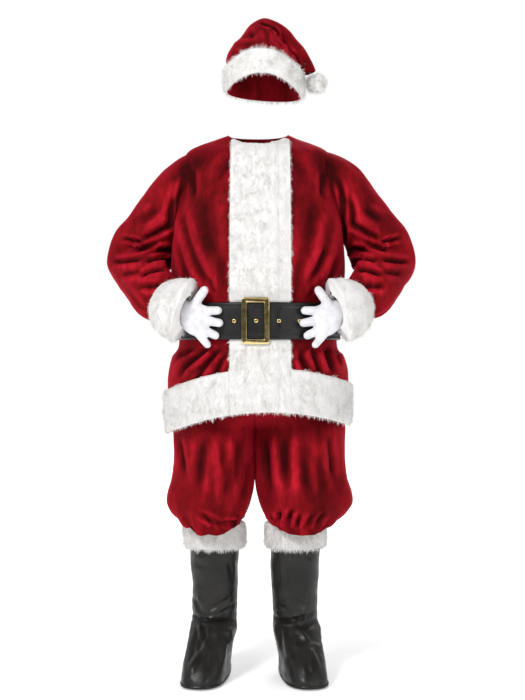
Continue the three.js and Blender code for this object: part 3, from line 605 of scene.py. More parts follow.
bodice_back_creases = table(
    "x1 z1 x2 z2 x3 z3 wide depth lift",
    [-170, 1330, -140, 1210, -120, 1085, 16, 3.4, 2.2],
    [178, 1330, 150, 1200, 126, 1085, 15, 3.6, 2.4],
    [-60, 1260, -50, 1160, -46, 1082, 13, 2.6, 1.6],
    [52, 1240, 48, 1150, 40, 1082, 14, 2.6, 1.8],
    [4, 1200, 0, 1130, -4, 1080, 10, 2.0, 1.2],
    [-208, 1250, -190, 1160, -168, 1084, 10, 3.0, 1.8],
    [212, 1260, 196, 1170, 172, 1084, 10, 3.0, 1.8],
    [-150, 1420, 0, 1380, 150, 1424, 24, 2.4, 1.6],
    [-118, 938, -132, 880, -150, 812, 11, 5.0, 3.0],
    [-56, 940, -60, 880, -70, 800, 12, 5.4, 3.2],
    [6, 940, 4, 880, 8, 806, 11, 4.6, 3.0],
    [64, 940, 70, 880, 82, 802, 12, 5.4, 3.2],
    [124, 938, 138, 880, 158, 812, 11, 5.0, 3.0],
    [-186, 936, -200, 890, -216, 830, 10, 4.2, 2.4],
    [190, 936, 202, 890, 220, 830, 10, 4.2, 2.4],
    [-30, 1074, -28, 1092, -30, 1116, 7, 2.6, 1.4],
    [84, 1074, 88, 1094, 92, 1114, 7, 2.6, 1.4],
)


def gathered(angle, t, at, long, count, depth, seed):
    """Small uneven gathers about a form, strongest at row at and gone within long rows of it."""
    draw = np.random.default_rng(seed)
    wave = np.zeros(np.shape(angle))
    for k in range(4):
        turns = int(count * draw.uniform(0.6, 1.5))
        wave = wave + np.sin(np.radians(angle) * turns + draw.uniform(0, 6.3))
    return depth * wave / 2 * np.exp(-(((t - at) / long) ** 2))


def bodice_push(angle, t, points):
    """Drape of the jacket's body: creases, gathers at the belt, and a soft unevenness."""
    cos = np.cos(np.radians(angle))
    front, back = np.clip(cos * 4, 0, 1), np.clip(-cos * 4, 0, 1)
    push = BODICE_FRONT_DEPTH * creased(points, bodice_front_creases, front)
    push = push + BODICE_BACK_DEPTH * creased(points, bodice_back_creases, back)
    push = push + gathered(angle, t, 4.6, 0.9, 26, 1.5, 11) + gathered(angle, t, 6.6, 0.8, 24, 1.5, 12)
    calm = np.clip(np.minimum(np.abs(t - 5.0), np.abs(t - 6.0)) / 0.3, 0, 1) * ((t < 5) | (t > 6))
    return push * calm + lumps(points, 150, 3) * 1.6 * calm + lumps(points, 42, 4) * 0.35


def sewn_in(push, share, width_mm, depth=1.3):
    """Adds the shallow valley of a seam along both side edges of a panel."""
    edge = np.minimum(share, 1 - share) * width_mm
    return push - depth * np.exp(-((edge / 4.0) ** 2))


def bodice_panel(name, low_of, high_of, flat):
    t = bodice.rows_every(CLOTH_STEP, 0, NECK_ROW)
    low, high = low_of(t), high_of(t)
    angle, places = panel_grid(bodice, t, low, high)
    points = bodice.at(angle, places)
    wide = np.linalg.norm(np.diff(points, axis=1), axis=-1).sum(1, keepdims=True)
    share = np.linspace(0, 1, angle.shape[1])[None]
    push = sewn_in(bodice_push(angle, places, points), share, wide)
    flat_points = with_fold(bodice.at(angle, places, push), push)
    faces = grid_faces(*angle.shape)
    for form in sleeves.values():
        near = outside_bent(form, flat_points[:, :3], 1.0, 0, 4.5)
        flat_points[:, 3] -= ARMHOLE_SHADE * np.exp(-((np.maximum(near, 0) / ARMHOLE_REACH) ** 2))
        if (near < 0).any():
            flat_points, faces = clipped(flat_points, faces, near)
    none = np.zeros(len(faces))
    middle = np.stack([none, none, flat_points[[f[0] for f in faces], 2]], -1)
    piece = new_piece(name, flat_points, faces, plush, middle)
    thicken(piece, PLUSH)
    finished(piece, name, flat)
    return piece


half_seam = lambda form, t: np.degrees(SEAM / 2 / form.of("across", t))
bodice_panel("jacket_front_left", lambda t: bodice.angle_at(FRONT_EDGE, t) + half_seam(bodice, t),
             lambda t: 90 - half_seam(bodice, t), (0.36, 0.92))
bodice_panel("jacket_front_right", lambda t: -90 + half_seam(bodice, t),
             lambda t: bodice.angle_at(FRONT_EDGE, t) - half_seam(bodice, t), (0.38, 0.92))
bodice_panel("jacket_back", lambda t: 90 + half_seam(bodice, t),
             lambda t: 270 - half_seam(bodice, t), (0.74, 0.92))

# ---- Sleeves -------------------------------------------------------------------------------------
# Two full sleeves of the same plush, set into the armholes and bent hard at the elbow, so that the
# cloth piles up in a fan of folds inside the bend and pulls smooth over the point of the elbow.
sleeve_front_creases = table(
    "x1 z1 x2 z2 x3 z3 wide depth lift",
    [214, 1424, 240, 1340, 236, 1180, 8, 4.4, 2.6],
    [236, 1372, 262, 1320, 258, 1262, 11, 3.2, 3.0],
    [250, 1290, 292, 1262, 340, 1236, 9, 4.6, 4.4],
    [336, 1228, 366, 1240, 402, 1246, 6, 5.0, 3.4],
    [330, 1184, 376, 1172, 428, 1178, 8, 4.6, 3.4],
    [262, 1150, 300, 1150, 340, 1128, 8, 5.2, 3.8],
    [246, 1222, 270, 1206, 304, 1212, 9, 6.4, 3.4],
    [248, 1190, 282, 1172, 330, 1180, 8, 5.6, 3.6],
    [268, 1108, 304, 1098, 350, 1106, 9, 2.8, 2.2],
    [330, 1148, 366, 1136, 396, 1140, 9, 2.6, 2.0],
    [288, 1336, 318, 1300, 350, 1290, 13, 2.2, 1.8],
    [250, 1080, 286, 1062, 318, 1070, 8, 2.2, 1.8],
    [286, 1246, 320, 1214, 366, 1206, 8, 3.4, 2.6],
)
sleeve_back_creases = table(
    "x1 z1 x2 z2 x3 z3 wide depth lift",
    [226, 1410, 250, 1330, 252, 1210, 10, 3.6, 2.4],
    [258, 1262, 310, 1240, 372, 1246, 10, 3.8, 2.8],
    [262, 1204, 312, 1190, 384, 1200, 10, 4.2, 3.0],
    [270, 1150, 320, 1142, 372, 1152, 10, 3.4, 2.4],
    [290, 1320, 330, 1290, 366, 1284, 14, 2.4, 1.8],
    [270, 1100, 306, 1090, 340, 1100, 9, 2.6, 1.8],
)


def mirrored(creases, side):
    """Creases of the wearer's left arm, or the same about the arms' middle for the right one."""
    return {n: ARMS_MIDDLE + side * v if n in ("x1", "x2", "x3") else v for n, v in creases.items()}


SLEEVE_END = 9.95
for name, side in SIDES.items():
    form = sleeves[name]
    t = form.rows_every(5.0, 0.3, SLEEVE_END, angle=0)
    around = np.linspace(0, 360, 113)[:-1]
    angle, places = np.broadcast_arrays(around[None], t[:, None])
    points = form.at(angle, places)
    normal = form.normal(angle, places)
    front = np.clip(-normal[..., 1] * 2.2 + 0.25, 0, 1)
    back = np.clip(normal[..., 1] * 2.2 + 0.15, 0, 1)
    push = SLEEVE_FRONT_DEPTH * creased(points, mirrored(sleeve_front_creases, side), front)
    push = push + SLEEVE_BACK_DEPTH * creased(points, mirrored(sleeve_back_creases, side), back)
    push = push + gathered(angle, places, 8.9, 0.9, 13, 2.2, 21)
    push = push + gathered(angle, places, 1.4, 0.5, 9, 1.4, 22)
    push = push + lumps(points, 90, 5 + side) * 1.6 + lumps(points, 30, 6) * 0.4
    points = with_fold(form.at(angle, places, push), push)
    faces = grid_faces(*angle.shape, closed=True)
    away = outside_upright(bodice, points[:, :3]) - 0.6
    points[:, 3] -= ARMHOLE_SHADE * np.exp(-((np.maximum(away, 0) / SLEEVE_HEAD_REACH) ** 2))
    points, faces = clipped(points, faces, away)
    height = points[[f[0] for f in faces], 2]
    middle = form.centre(np.interp(height, form.rows["z"][::-1], np.arange(form.last + 1)[::-1]))
    piece = new_piece("sleeve_" + name, points, faces, plush, middle)
    thicken(piece, PLUSH)
    finished(piece, "sleeve_" + name, (0.56, 0.62))

# ---- Fur trims of the jacket ---------------------------------------------------------------------
# White long-pile fur cloth about 12 mm deep, sewn on the cloth along its edges. The pile lies in
# small tufts, hangs a little, and frays out past its own edges.
FUR = 12
fur_clumps = bpy.data.node_groups.new("fur_clumps", "ShaderNodeTree")
group_sockets(
    fur_clumps,
    [("Vector", "NodeSocketVector", None), ("Tufts", "NodeSocketFloat", 70.0)],
    [("Shade", "NodeSocketFloat"), ("Height", "NodeSocketFloat")],
)
node, link = nodes_of(fur_clumps)
into, out = node("NodeGroupInput", -700), node("NodeGroupOutput", 300)
tufts, hairs = node("ShaderNodeTexNoise", -450, 120), node("ShaderNodeTexNoise", -450, -160)
tufts.inputs["Detail"].default_value, hairs.inputs["Scale"].default_value = 5.0, 620.0
link(into.outputs["Vector"], tufts.inputs["Vector"])
link(into.outputs["Tufts"], tufts.inputs["Scale"])
link(into.outputs["Vector"], hairs.inputs["Vector"])
both = node("ShaderNodeMath", -150, -60, operation="MULTIPLY_ADD")
both.inputs[1].default_value = 0.4
link(hairs.outputs["Fac"], both.inputs[0])
link(tufts.outputs["Fac"], both.inputs[2])
link(tufts.outputs["Fac"], out.inputs["Shade"])
link(both.outputs[0], out.inputs["Height"])


def fur_material(name, low, high, pile=False):
    """White fur with painted shade: greyer down in the pile and between its tufts."""
    material, shader, node, link = new_material(name)
    place = node("ShaderNodeTexCoord", -900)
    clumps = node("ShaderNodeGroup", -700)
    clumps.node_tree = fur_clumps
    streaks = node("ShaderNodeMapping", -800)
    streaks.inputs["Scale"].default_value = (0.8, 0.8, 0.28)
    link(place.outputs["Object"], streaks.inputs["Vector"])
    link(streaks.outputs["Vector"], clumps.inputs["Vector"])
    # Painted shade between the tufts, from the clumps' Shade mask.
    colour = ramp(node, link, clumps.outputs["Shade"], [(0.34, low), (0.56, high)], -450, 100)
    if pile:
        # Painted shade down in the pile: the hairs turn greyer towards their roots.
        along = node("ShaderNodeAttribute", -700, 300, attribute_name="pile")
        stops = [(0.0, (0.88, 0.875, 0.865)), (0.7, (1, 1, 1))]
        tip = ramp(node, link, along.outputs["Fac"], stops, -450, 300)
        colour = mix(node, link, colour, tip, 1.0, -150, 200, "MULTIPLY")
    link(colour, shader.inputs["Base Color"])
    shader.inputs["Roughness"].default_value = 0.9
    shader.inputs["Specular IOR Level"].default_value = 0.2
    shader.inputs["Sheen Weight"].default_value = 0.25
    shader.inputs["Sheen Roughness"].default_value = 0.6
    bump(node, link, shader, clumps.outputs["Height"], 0.2, 0.002, 0, -200)
    return material


fur_cloth = fur_material("white_fur_ground", (0.64, 0.63, 0.615), (0.73, 0.72, 0.71))
fur_hairs = fur_material("white_fur_pile", (0.70, 0.69, 0.675), (0.80, 0.79, 0.78), pile=True)


def cell_lengths(points, closed):
    """Distances of a grid's points from its two side edges and two ends."""
    along = np.linalg.norm(np.diff(points, axis=0), axis=-1)
    down = np.concatenate([np.zeros((1, points.shape[1])), np.cumsum(along, 0)])
    ends = np.minimum(down, down[-1:] - down)
    if closed:
        return np.full(ends.shape, 1e3), ends
    across = np.linalg.norm(np.diff(points, axis=1), axis=-1)
    run = np.concatenate([np.zeros((points.shape[0], 1)), np.cumsum(across, 1)], 1)
    return np.minimum(run, run[:, -1:] - run), ends


def shell_between(name, outer, inner, material, closed=False):
    """A closed shell between two grids of points, joined round their rims."""
    rows, columns = outer.shape[:2]
    count = rows * columns
    faces = grid_faces(rows, columns, closed)
    faces += [[k + count for k in reversed(f)] for f in faces]
    last = (rows - 1) * columns
    for i in range(columns if closed else columns - 1):
        k = (i + 1) % columns
        faces += [[count + i, count + k, k, i], [last + i, last + k, count + last + k, count + last + i]]
    if not closed:
        for j in range(rows - 1):
            a, b = j * columns, (j + 1) * columns
            c, d = a + columns - 1, b + columns - 1
            faces += [[a, b, count + b, count + a], [count + c, count + d, d, c]]
    points = np.concatenate([outer.reshape(-1, 3), inner.reshape(-1, 3)])
    piece = new_piece(name, points, faces, material)
    only(piece)
    bpy.ops.object.mode_set(mode="EDIT")
    bpy.ops.mesh.select_all(action="SELECT")
    bpy.ops.mesh.normals_make_consistent(inside=False)
    bpy.ops.object.mode_set(mode="OBJECT")
    bpy.ops.object.shade_smooth_by_angle(angle=math.radians(70))
    return piece


def hair(name, outer, closed, per_cm2, length, seed, hang=0.35, fray=0.9, width=0.85):
    """The pile on a trim: tapered blades from its outer face, leaning in tufts and out at its edges."""
    draw = np.random.default_rng(seed)
    grid = np.concatenate([outer, outer[:, :1]], 1) if closed else outer
    u, v = np.diff(grid, axis=1)[:-1], np.diff(grid, axis=0)[:, :-1]
    cross = np.cross(u, v)
    area = np.linalg.norm(cross, axis=-1).ravel()
    count = int(area.sum() / 100 * per_cm2)
    cell = draw.choice(len(area), count, p=area / area.sum())
    j, i = np.divmod(cell, u.shape[1])
    a, b = draw.random((2, count, 1))
    root = grid[j, i] * (1 - a) * (1 - b) + grid[j, i + 1] * a * (1 - b)
    root = root + grid[j + 1, i] * (1 - a) * b + grid[j + 1, i + 1] * a * b
    normal = unit(cross[j, i])
    middle = outer.reshape(-1, 3).mean(0) if closed else np.array([0, 60, outer[..., 2].mean()])
    centre = grid[j, :].mean(1) if closed else middle
    normal = np.where((normal * (root - centre)).sum(-1, keepdims=True) < 0, -normal, normal)
    side, end = cell_lengths(outer, closed)
    side, end = side[j, np.minimum(i, outer.shape[1] - 1)], end[j, np.minimum(i, outer.shape[1] - 1)]
    ends = np.where(j < outer.shape[0] / 2, -1, 1)[:, None] * unit(v[j, i])
    sides = np.where(i < outer.shape[1] / 2, -1, 1)[:, None] * unit(u[j, i])
    lean = unit(u[j, i]) * lumps(root, 30, seed + 1)[:, None]
    lean = lean + unit(v[j, i]) * lumps(root, 26, seed + 2)[:, None]
    way = normal * 0.55 + lean * 0.26 + [0, 0, -1.3 * hang] + draw.normal(size=(count, 3)) * 0.13
    way = way + ends * (fray * np.exp(-((end / 8) ** 2)))[:, None]
    way = unit(way + sides * (fray * np.exp(-((side / 8) ** 2)))[:, None])
    long = length * (0.62 + 0.7 * draw.random(count)) * (1 + 0.3 * lumps(root, 16, seed + 3))
    first = root - normal * 1.2
    middle = first + way * (long * 0.55)[:, None]
    tip = middle + unit(way + [0, 0, -hang]) * (long * 0.5)[:, None]
    flat = unit(np.cross(way, normal) + draw.normal(size=(count, 3)) * 0.22) * (width / 2)
    points = np.stack([first - flat, first + flat, middle + flat * 0.75, middle - flat * 0.75, tip], 1)
    k = np.arange(count)[:, None] * 5
    faces = (k + [0, 1, 2, 3]).tolist() + (k + [3, 2, 4]).tolist()
    piece = new_piece(name, points.reshape(-1, 3), faces, fur_hairs)
    # The pile attribute runs from root (0) to tip (1); the pile material paints shade at the roots from it.
    shade = piece.data.attributes.new("pile", "FLOAT", "POINT")
    shade.data.foreach_set("value", np.tile([0.0, 0.0, 0.55, 0.55, 1.0], count))
    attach(piece, "root")
    return piece


def fur_trim(name, form, angle, places, reach, flat, seed, closed=False,
             per_cm2=17, length=9.5, hang=0.5, press=None, fray=0.9, ridge=None, butt=None, roll=0.0):
    """A fur strip on a form: a rounded body about as deep as its pile, and the pile's hairs."""
    inner = form.at(angle, places, SEAM - roll)
    side, end = cell_lengths(inner, closed)
    if butt is not None:
        side = side + 12 * butt
    edge = np.clip(np.minimum(side, end) / 11, 0, 1)
    body = 0.34 + 0.66 * np.sqrt(1 - (1 - edge) ** 2)
    thick = reach * 0.74 * body * (1 + 0.10 * lumps(inner, 45, seed) + 0.06 * lumps(inner, 15, seed + 7))
    if ridge is not None:
        thick = thick + ridge
    if press is not None:
        thick = thick * (1 - press) + 2.2 * press
    outer = form.at(angle, places, SEAM + thick)
    piece = shell_between(name, outer, inner, fur_cloth, closed)
    hairs = hair(name + "_pile", outer, closed, per_cm2, length, seed + 20, hang, fray)
    if press is not None:
        flatten_under_belt(hairs)
    finished(piece, name, flat)
    return piece


BELT_HEIGHT, BELT_WIDTH = 1005.5, 102


def flatten_under_belt(hairs):
    """Hairs under the belt are taken away: the belt presses them flat."""
    only(hairs)
    bpy.ops.object.mode_set(mode="EDIT")
    mesh = bmesh.from_edit_mesh(hairs.data)
    low = (BELT_HEIGHT - BELT_WIDTH / 2 - 2 - NECK_HEIGHT) * MM
    high = (BELT_HEIGHT + BELT_WIDTH / 2 + 2 - NECK_HEIGHT) * MM
    gone = [v for v in mesh.verts if low < v.co.z < high]
    seen = set(gone)
    for v in gone:
        for e in v.link_edges:
            seen.add(e.other_vert(v))
    for v in list(seen):
        for e in v.link_edges:
            seen.add(e.other_vert(v))
    bmesh.ops.delete(mesh, geom=list(seen), context="VERTS")
    bmesh.update_edit_mesh(hairs.data)
    bpy.ops.object.mode_set(mode="OBJECT")


def on_bodice(low_of, high_of, first, last, step=7.0):
    t = bodice.rows_every(step, first, last)
    return panel_grid(bodice, t, low_of(t), high_of(t), step)


def pressed_at(places):
    """1 where the belt presses the trim, easing to 0 above and below it."""
    z = bodice.centre(places)[..., 2]
    off = np.abs(z - BELT_HEIGHT) - BELT_WIDTH / 2
    return 1 / (1 + np.exp((off - 6) / 3.0))


at_x = lambda x: (lambda t: bodice.angle_at(x, t))
LAP_RIDGE_X = 42
LAP_FROM_X, LAP_RAMP = 20, 20     # at_lap rises from 0 at this x to 1 over this width, mm
angle, places = on_bodice(at_x(TRIM_RIGHT_EDGE), at_x(TRIM_LAP - 0.3), 0, NECK_ROW)
x = bodice.bare(angle, places)[..., 0]
ridge = 2.4 * np.exp(-(((x - LAP_RIDGE_X) / 8) ** 2))
in_hem = lambda places: np.clip((HEM_TOP_ROW + 0.1 - places) / 0.15, 0, 1)
at_lap = np.clip((x - LAP_FROM_X) / LAP_RAMP, 0, 1)
fur_trim("front_fur_over", bodice, angle, places, FUR, (0.145, 0.93), 100, press=pressed_at(places),
         ridge=ridge, butt=np.maximum(in_hem(places), at_lap))
angle, places = on_bodice(at_x(TRIM_LAP + 0.3), at_x(TRIM_LEFT_EDGE), 0, NECK_ROW)
fur_trim("front_fur_under", bodice, angle, places, FUR, (0.04, 0.93), 130, press=pressed_at(places),
         butt=np.ones(places.shape))
hem_edges = {
    "left": (at_x(TRIM_LEFT_EDGE + 0.4), lambda t: 90 - half_seam(bodice, t), (0.2, 0.125)),
    "right": (lambda t: -90 + half_seam(bodice, t), at_x(TRIM_RIGHT_EDGE - 0.4), (0.215, 0.125)),
    "back": (lambda t: 90 + half_seam(bodice, t), lambda t: 270 - half_seam(bodice, t), (0.7, 0.125)),
}
for seed, (name, (low_of, high_of, flat)) in enumerate(hem_edges.items()):
    angle, places = on_bodice(low_of, high_of, 0, HEM_TOP_ROW)
    fur_trim("hem_fur_" + name, bodice, angle, places, FUR, flat, 160 + 30 * seed,
             butt=np.ones(places.shape))
CUFF_ROLL, CUFF_ROLL_FRONT, CUFF_ROLL_SIDES, ROLL_ROW = 17, 6, 20, 1.9
for name, side in SIDES.items():
    form = cuffs[name]
    t = form.rows_every(4.5, 0, 3)
    angle, places = np.broadcast_arrays(np.linspace(0, 360, 91)[:-1][None], t[:, None])
    rolled = 3.0 * np.exp(-(((3 - places) / 0.4) ** 2)) - 2.4 * np.exp(-(((2.35 - places) / 0.2) ** 2))
    roll = CUFF_ROLL + CUFF_ROLL_FRONT * np.cos(np.radians(angle))
    roll = roll + CUFF_ROLL_SIDES * np.sin(np.radians(angle)) ** 2
    fur_trim("cuff_fur_" + name, form, angle, places, FUR, (0.42, 0.1), 250 + 30 * side, closed=True,
             ridge=rolled,
             roll=roll * np.clip((places - ROLL_ROW) / 0.9, 0, 1) ** 1.3)

# ---- Belt ----------------------------------------------------------------------------------------
# A wide black coated-cloth strap round the waist, with a line pressed inside each edge and soft
# dents where it bends.
BELT_OFF, BELT_THICK = 7, 3.5
belt_form = Form({n: v[BELT_ROWS[0]: BELT_ROWS[1] + 1] for n, v in bodice.rows.items()})
CINCH_LOW, CINCH_HIGH = 940, 1071


def vinyl_material(name, dark, light, rough, wrinkle, scale=1.0):
    """Black coated cloth: a fine leather grain, soft wrinkles and a patchy semi-gloss."""
    material, shader, node, link = new_material(name)
    place = node("ShaderNodeTexCoord", -1000)
    cloud = node("ShaderNodeTexNoise", -700, 250)
    cloud.inputs["Scale"].default_value, cloud.inputs["Detail"].default_value = 14.0 * scale, 5.0
    crinkle = node("ShaderNodeTexNoise", -700, -50)
    crinkle.inputs["Scale"].default_value, crinkle.inputs["Detail"].default_value = 60.0 * scale, 7.0
    pebble = node("ShaderNodeTexVoronoi", -700, -350, feature="SMOOTH_F1")
    pebble.inputs["Scale"].default_value = 900.0
    for made in (cloud, crinkle, pebble):
        link(place.outputs["Object"], made.inputs["Vector"])
    colour = ramp(node, link, cloud.outputs["Fac"], [(0.35, dark), (0.65, light)], -400, 250)
    link(colour, shader.inputs["Base Color"])
    gloss = node("ShaderNodeMapRange", -400, 0)
    gloss.inputs["From Min"].default_value, gloss.inputs["From Max"].default_value = 0.35, 0.68
    gloss.inputs["To Min"].default_value, gloss.inputs["To Max"].default_value = rough - 0.07, rough + 0.12
    link(crinkle.outputs["Fac"], gloss.inputs["Value"])
    link(gloss.outputs["Result"], shader.inputs["Roughness"])
    both = node("ShaderNodeMath", -400, -250, operation="MULTIPLY_ADD")
    both.inputs[1].default_value = 0.12
    link(pebble.outputs["Distance"], both.inputs[0])
    link(crinkle.outputs["Fac"], both.inputs[2])
    shader.inputs["Specular IOR Level"].default_value = 0.26
    bump(node, link, shader, both.outputs[0], wrinkle, 0.002, 0, -200)
    return material


belt_vinyl = vinyl_material("black_belt_vinyl", (0.0060, 0.0060, 0.0064), (0.013, 0.0125, 0.012), 0.34, 0.16)
rows = np.linspace(-BELT_WIDTH / 2, BELT_WIDTH / 2, 31)
t = (BELT_HEIGHT + rows - CINCH_LOW) / (CINCH_HIGH - CINCH_LOW)
angle, places = np.broadcast_arrays(np.linspace(0, 360, 301)[:-1][None], t[:, None])
from_edge = (BELT_WIDTH / 2 - np.abs(rows))[:, None]
push = -1.0 * np.exp(-(((from_edge - 10) / 1.6) ** 2)) - 1.6 * np.exp(-((from_edge / 2.2) ** 2))
spot = belt_form.bare(angle, places)
belt_dents = table(
    "x1 z1 x2 z2 x3 z3 wide depth lift",
    [-28, 1050, -34, 1010, -30, 964, 6, 0.9, 0.8],
    [22, 1046, 18, 1012, 24, 968, 5, 0.8, 0.8],
    [46, 1052, 50, 1000, 47, 960, 7, 0.8, 0.7],
    [-72, 1050, -70, 1006, -76, 962, 8, 0.8, 0.7],
    [96, 1050, 100, 1004, 95, 962, 9, 0.7, 0.7],
    [-14, 1034, 4, 1026, 18, 1034, 6, 0.9, 0.8],
)
push = push + creased(spot, belt_dents, np.clip(np.cos(np.radians(angle)) * 4, 0, 1))
push = push + 0.5 * lumps(spot, 60, 40)
outer = belt_form.at(angle, places, BELT_OFF + BELT_THICK + push)
inner = belt_form.at(angle, places, BELT_OFF + 0.2 + 0.5 * lumps(spot, 60, 40))
strap = shell_between("belt_strap", outer, inner, belt_vinyl, closed=True)
finished(strap, "belt_strap", (1.44, 0.102))

# ---- Buckle and eyelets --------------------------------------------------------------------------
# A cast frame of polished brass with rounded corners and broad bevels; the strap goes behind it and
# over the bar at its back. The eyelets are rolled rings of the same brass, pressed through the strap.


def brass_material():
    material, shader, node, link = new_material("polished_brass")
    place = node("ShaderNodeTexCoord", -800)
    tarnish = node("ShaderNodeTexNoise", -600, 100)
    tarnish.inputs["Scale"].default_value, tarnish.inputs["Detail"].default_value = 55.0, 5.0
    link(place.outputs["Object"], tarnish.inputs["Vector"])
    stops = [(0.30, (0.60, 0.45, 0.17)), (0.70, (0.84, 0.67, 0.33))]
    link(ramp(node, link, tarnish.outputs["Fac"], stops, -350, 100), shader.inputs["Base Color"])
    rough = node("ShaderNodeMapRange", -350, -150)
    rough.inputs["To Min"].default_value, rough.inputs["To Max"].default_value = 0.06, 0.20
    link(tarnish.outputs["Fac"], rough.inputs["Value"])
    link(rough.outputs["Result"], shader.inputs["Roughness"])
    shader.inputs["Metallic"].default_value = 1.0
    bump(node, link, shader, tarnish.outputs["Fac"], 0.05, 0.001, 0, -300)
    return material


brass = brass_material()
BUCKLE_X, BUCKLE_WIDTH, BUCKLE_HEIGHT, BUCKLE_THICK, BUCKLE_BAR = -6, 76, 128, 6, 14
buckle_low, buckle_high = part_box("belt_buckle")
buckle_middle = (BUCKLE_X * MM, buckle_low[1] + BUCKLE_THICK / 2 * MM, (BELT_HEIGHT - NECK_HEIGHT) * MM)
bpy.ops.object.select_all(action="DESELECT")
bpy.ops.mesh.primitive_cube_add(size=1, location=buckle_middle)
buckle = bpy.context.object
buckle.name = "belt_buckle_frame"
buckle.scale = (BUCKLE_WIDTH * MM, BUCKLE_THICK * MM, BUCKLE_HEIGHT * MM)
bpy.ops.object.transform_apply(location=True, rotation=True, scale=True)


def pick(kind, test):
    """Selects only the faces or edges that pass a test, in edit mode."""
    bpy.ops.mesh.select_mode(type=kind)
    bpy.ops.mesh.select_all(action="DESELECT")
    mesh = bmesh.from_edit_mesh(bpy.context.object.data)
    for part in mesh.faces if kind == "FACE" else mesh.edges:
        if test(part):
            part.select = True
    mesh.select_flush_mode()
    bmesh.update_edit_mesh(bpy.context.object.data)


def corner_edge(edge, low, high):
    a, b = (v.co - Vector(buckle_middle) for v in edge.verts)
    runs_back = abs(a.y - b.y) > 0.5 * BUCKLE_THICK * MM
    return runs_back and low < max(abs(a.x) / BUCKLE_WIDTH, abs(a.z) / BUCKLE_HEIGHT) / MM <= high


bpy.ops.object.mode_set(mode="EDIT")
pick("FACE", lambda f: abs(f.normal.y) > 0.9)
bpy.ops.mesh.inset(thickness=BUCKLE_BAR * MM, use_individual=True)
bpy.ops.mesh.bridge_edge_loops()
pick("EDGE", lambda e: corner_edge(e, 0.45, 0.51))
bpy.ops.mesh.bevel(offset=9 * MM, segments=6, affect="EDGES")
pick("EDGE", lambda e: corner_edge(e, 0.1, 0.42))
bpy.ops.mesh.bevel(offset=3.5 * MM, segments=4, affect="EDGES")
bpy.ops.object.mode_set(mode="OBJECT")
modifier = buckle.modifiers.new("rounded", "BEVEL")
modifier.width, modifier.segments = 2.3 * MM, 4
modifier.limit_method, modifier.angle_limit = "ANGLE", math.radians(50)
only(buckle)
bpy.ops.object.modifier_apply(modifier=modifier.name)
bpy.ops.object.shade_smooth_by_angle(angle=math.radians(40))
bar_parts = []
bar_back = buckle_high[1]
foot = (bar_back - buckle_low[1]) / MM - 2
for z, height, thick in ((0, 116, 2.2), (56, 5, foot), (-56, 5, foot)):
    bpy.ops.object.select_all(action="DESELECT")
    middle = (BUCKLE_X * MM, bar_back - thick / 2 * MM, (BELT_HEIGHT - NECK_HEIGHT + z) * MM)
    bpy.ops.mesh.primitive_cube_add(size=1, location=middle)
    bar = bpy.context.object
    bar.scale = (10 * MM, thick * MM, height * MM)
    bpy.ops.object.transform_apply(location=True, rotation=True, scale=True)
    bar_parts.append(bar)
bpy.ops.object.select_all(action="DESELECT")
for bar in bar_parts:
    bar.select_set(True)
buckle.select_set(True)
bpy.context.view_layer.objects.active = buckle
bpy.ops.object.join()
buckle.data.materials.clear()
buckle.data.materials.append(brass)
finished(buckle, "belt_buckle")

for count in range(1, 5):
    low, high = (Vector(corner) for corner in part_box(f"belt_eyelet_{count}"))
    middle = (low + high) / 2
    outward = Vector((middle.x * 0.5, -0.16, 0)).normalized()
    turn = outward.to_track_quat("Z", "Y").to_euler()
    bpy.ops.object.select_all(action="DESELECT")
    bpy.ops.mesh.primitive_torus_add(location=middle + outward * 0.0012, rotation=turn, major_radius=0.0042,
                                     minor_radius=0.0018, major_segments=28, minor_segments=12)
    ring = bpy.context.object
    ring.name = f"belt_eyelet_ring_{count}"
    bpy.ops.object.transform_apply(location=True, rotation=True, scale=True)
    bpy.ops.object.select_all(action="DESELECT")
    bpy.ops.mesh.primitive_cylinder_add(radius=0.0030, depth=0.0034, vertices=28, end_fill_type="NOTHING",
                                        location=middle, rotation=turn)
    barrel = bpy.context.object
    bpy.ops.object.transform_apply(location=True, rotation=True, scale=True)
    modifier = barrel.modifiers.new("wall", "SOLIDIFY")
    modifier.thickness = 0.0006
    bpy.ops.object.modifier_apply(modifier=modifier.name)
    ring.select_set(True)
    bpy.context.view_layer.objects.active = ring
    bpy.ops.object.join()
    bpy.ops.object.shade_smooth_by_angle(angle=math.radians(40))
    ring.data.materials.clear()
    ring.data.materials.append(brass)
    finished(ring, f"belt_eyelet_{count}")

# ---- Gloves --------------------------------------------------------------------------------------
# Thin white knit gloves, open at the wrist. A palm and five fingers are joined, then the skin is
# smoothed over the joins and given the thickness of the knit.
GLOVE = 1.2
palm_rows = table(
    "x y z across front back",
    [252, -172, 1047, 31, 22, 22],
    [226, -186, 1036, 32, 22, 20],
    [205, -192, 1026, 38, 21, 18],
    [186, -195, 1015, 43, 19, 16],
    [170, -198, 1006, 45, 16, 14],
    [158, -200, 1000, 38, 11, 11],
    [154, -201, 998, 24, 5, 5],
)
fingers = table(
    "fromX fromZ toX toZ toY radius",
    [168, 1033, 108, 1034, -213, 12.6],
    [166, 1009, 104, 998, -213, 12.8],
    [168, 986, 116, 961, -211, 12.4],
    [176, 974, 141, 933, -206, 11.2],
    [196, 1034, 149, 1099, -204, 13.6],
)
KNUCKLES_Y = -197


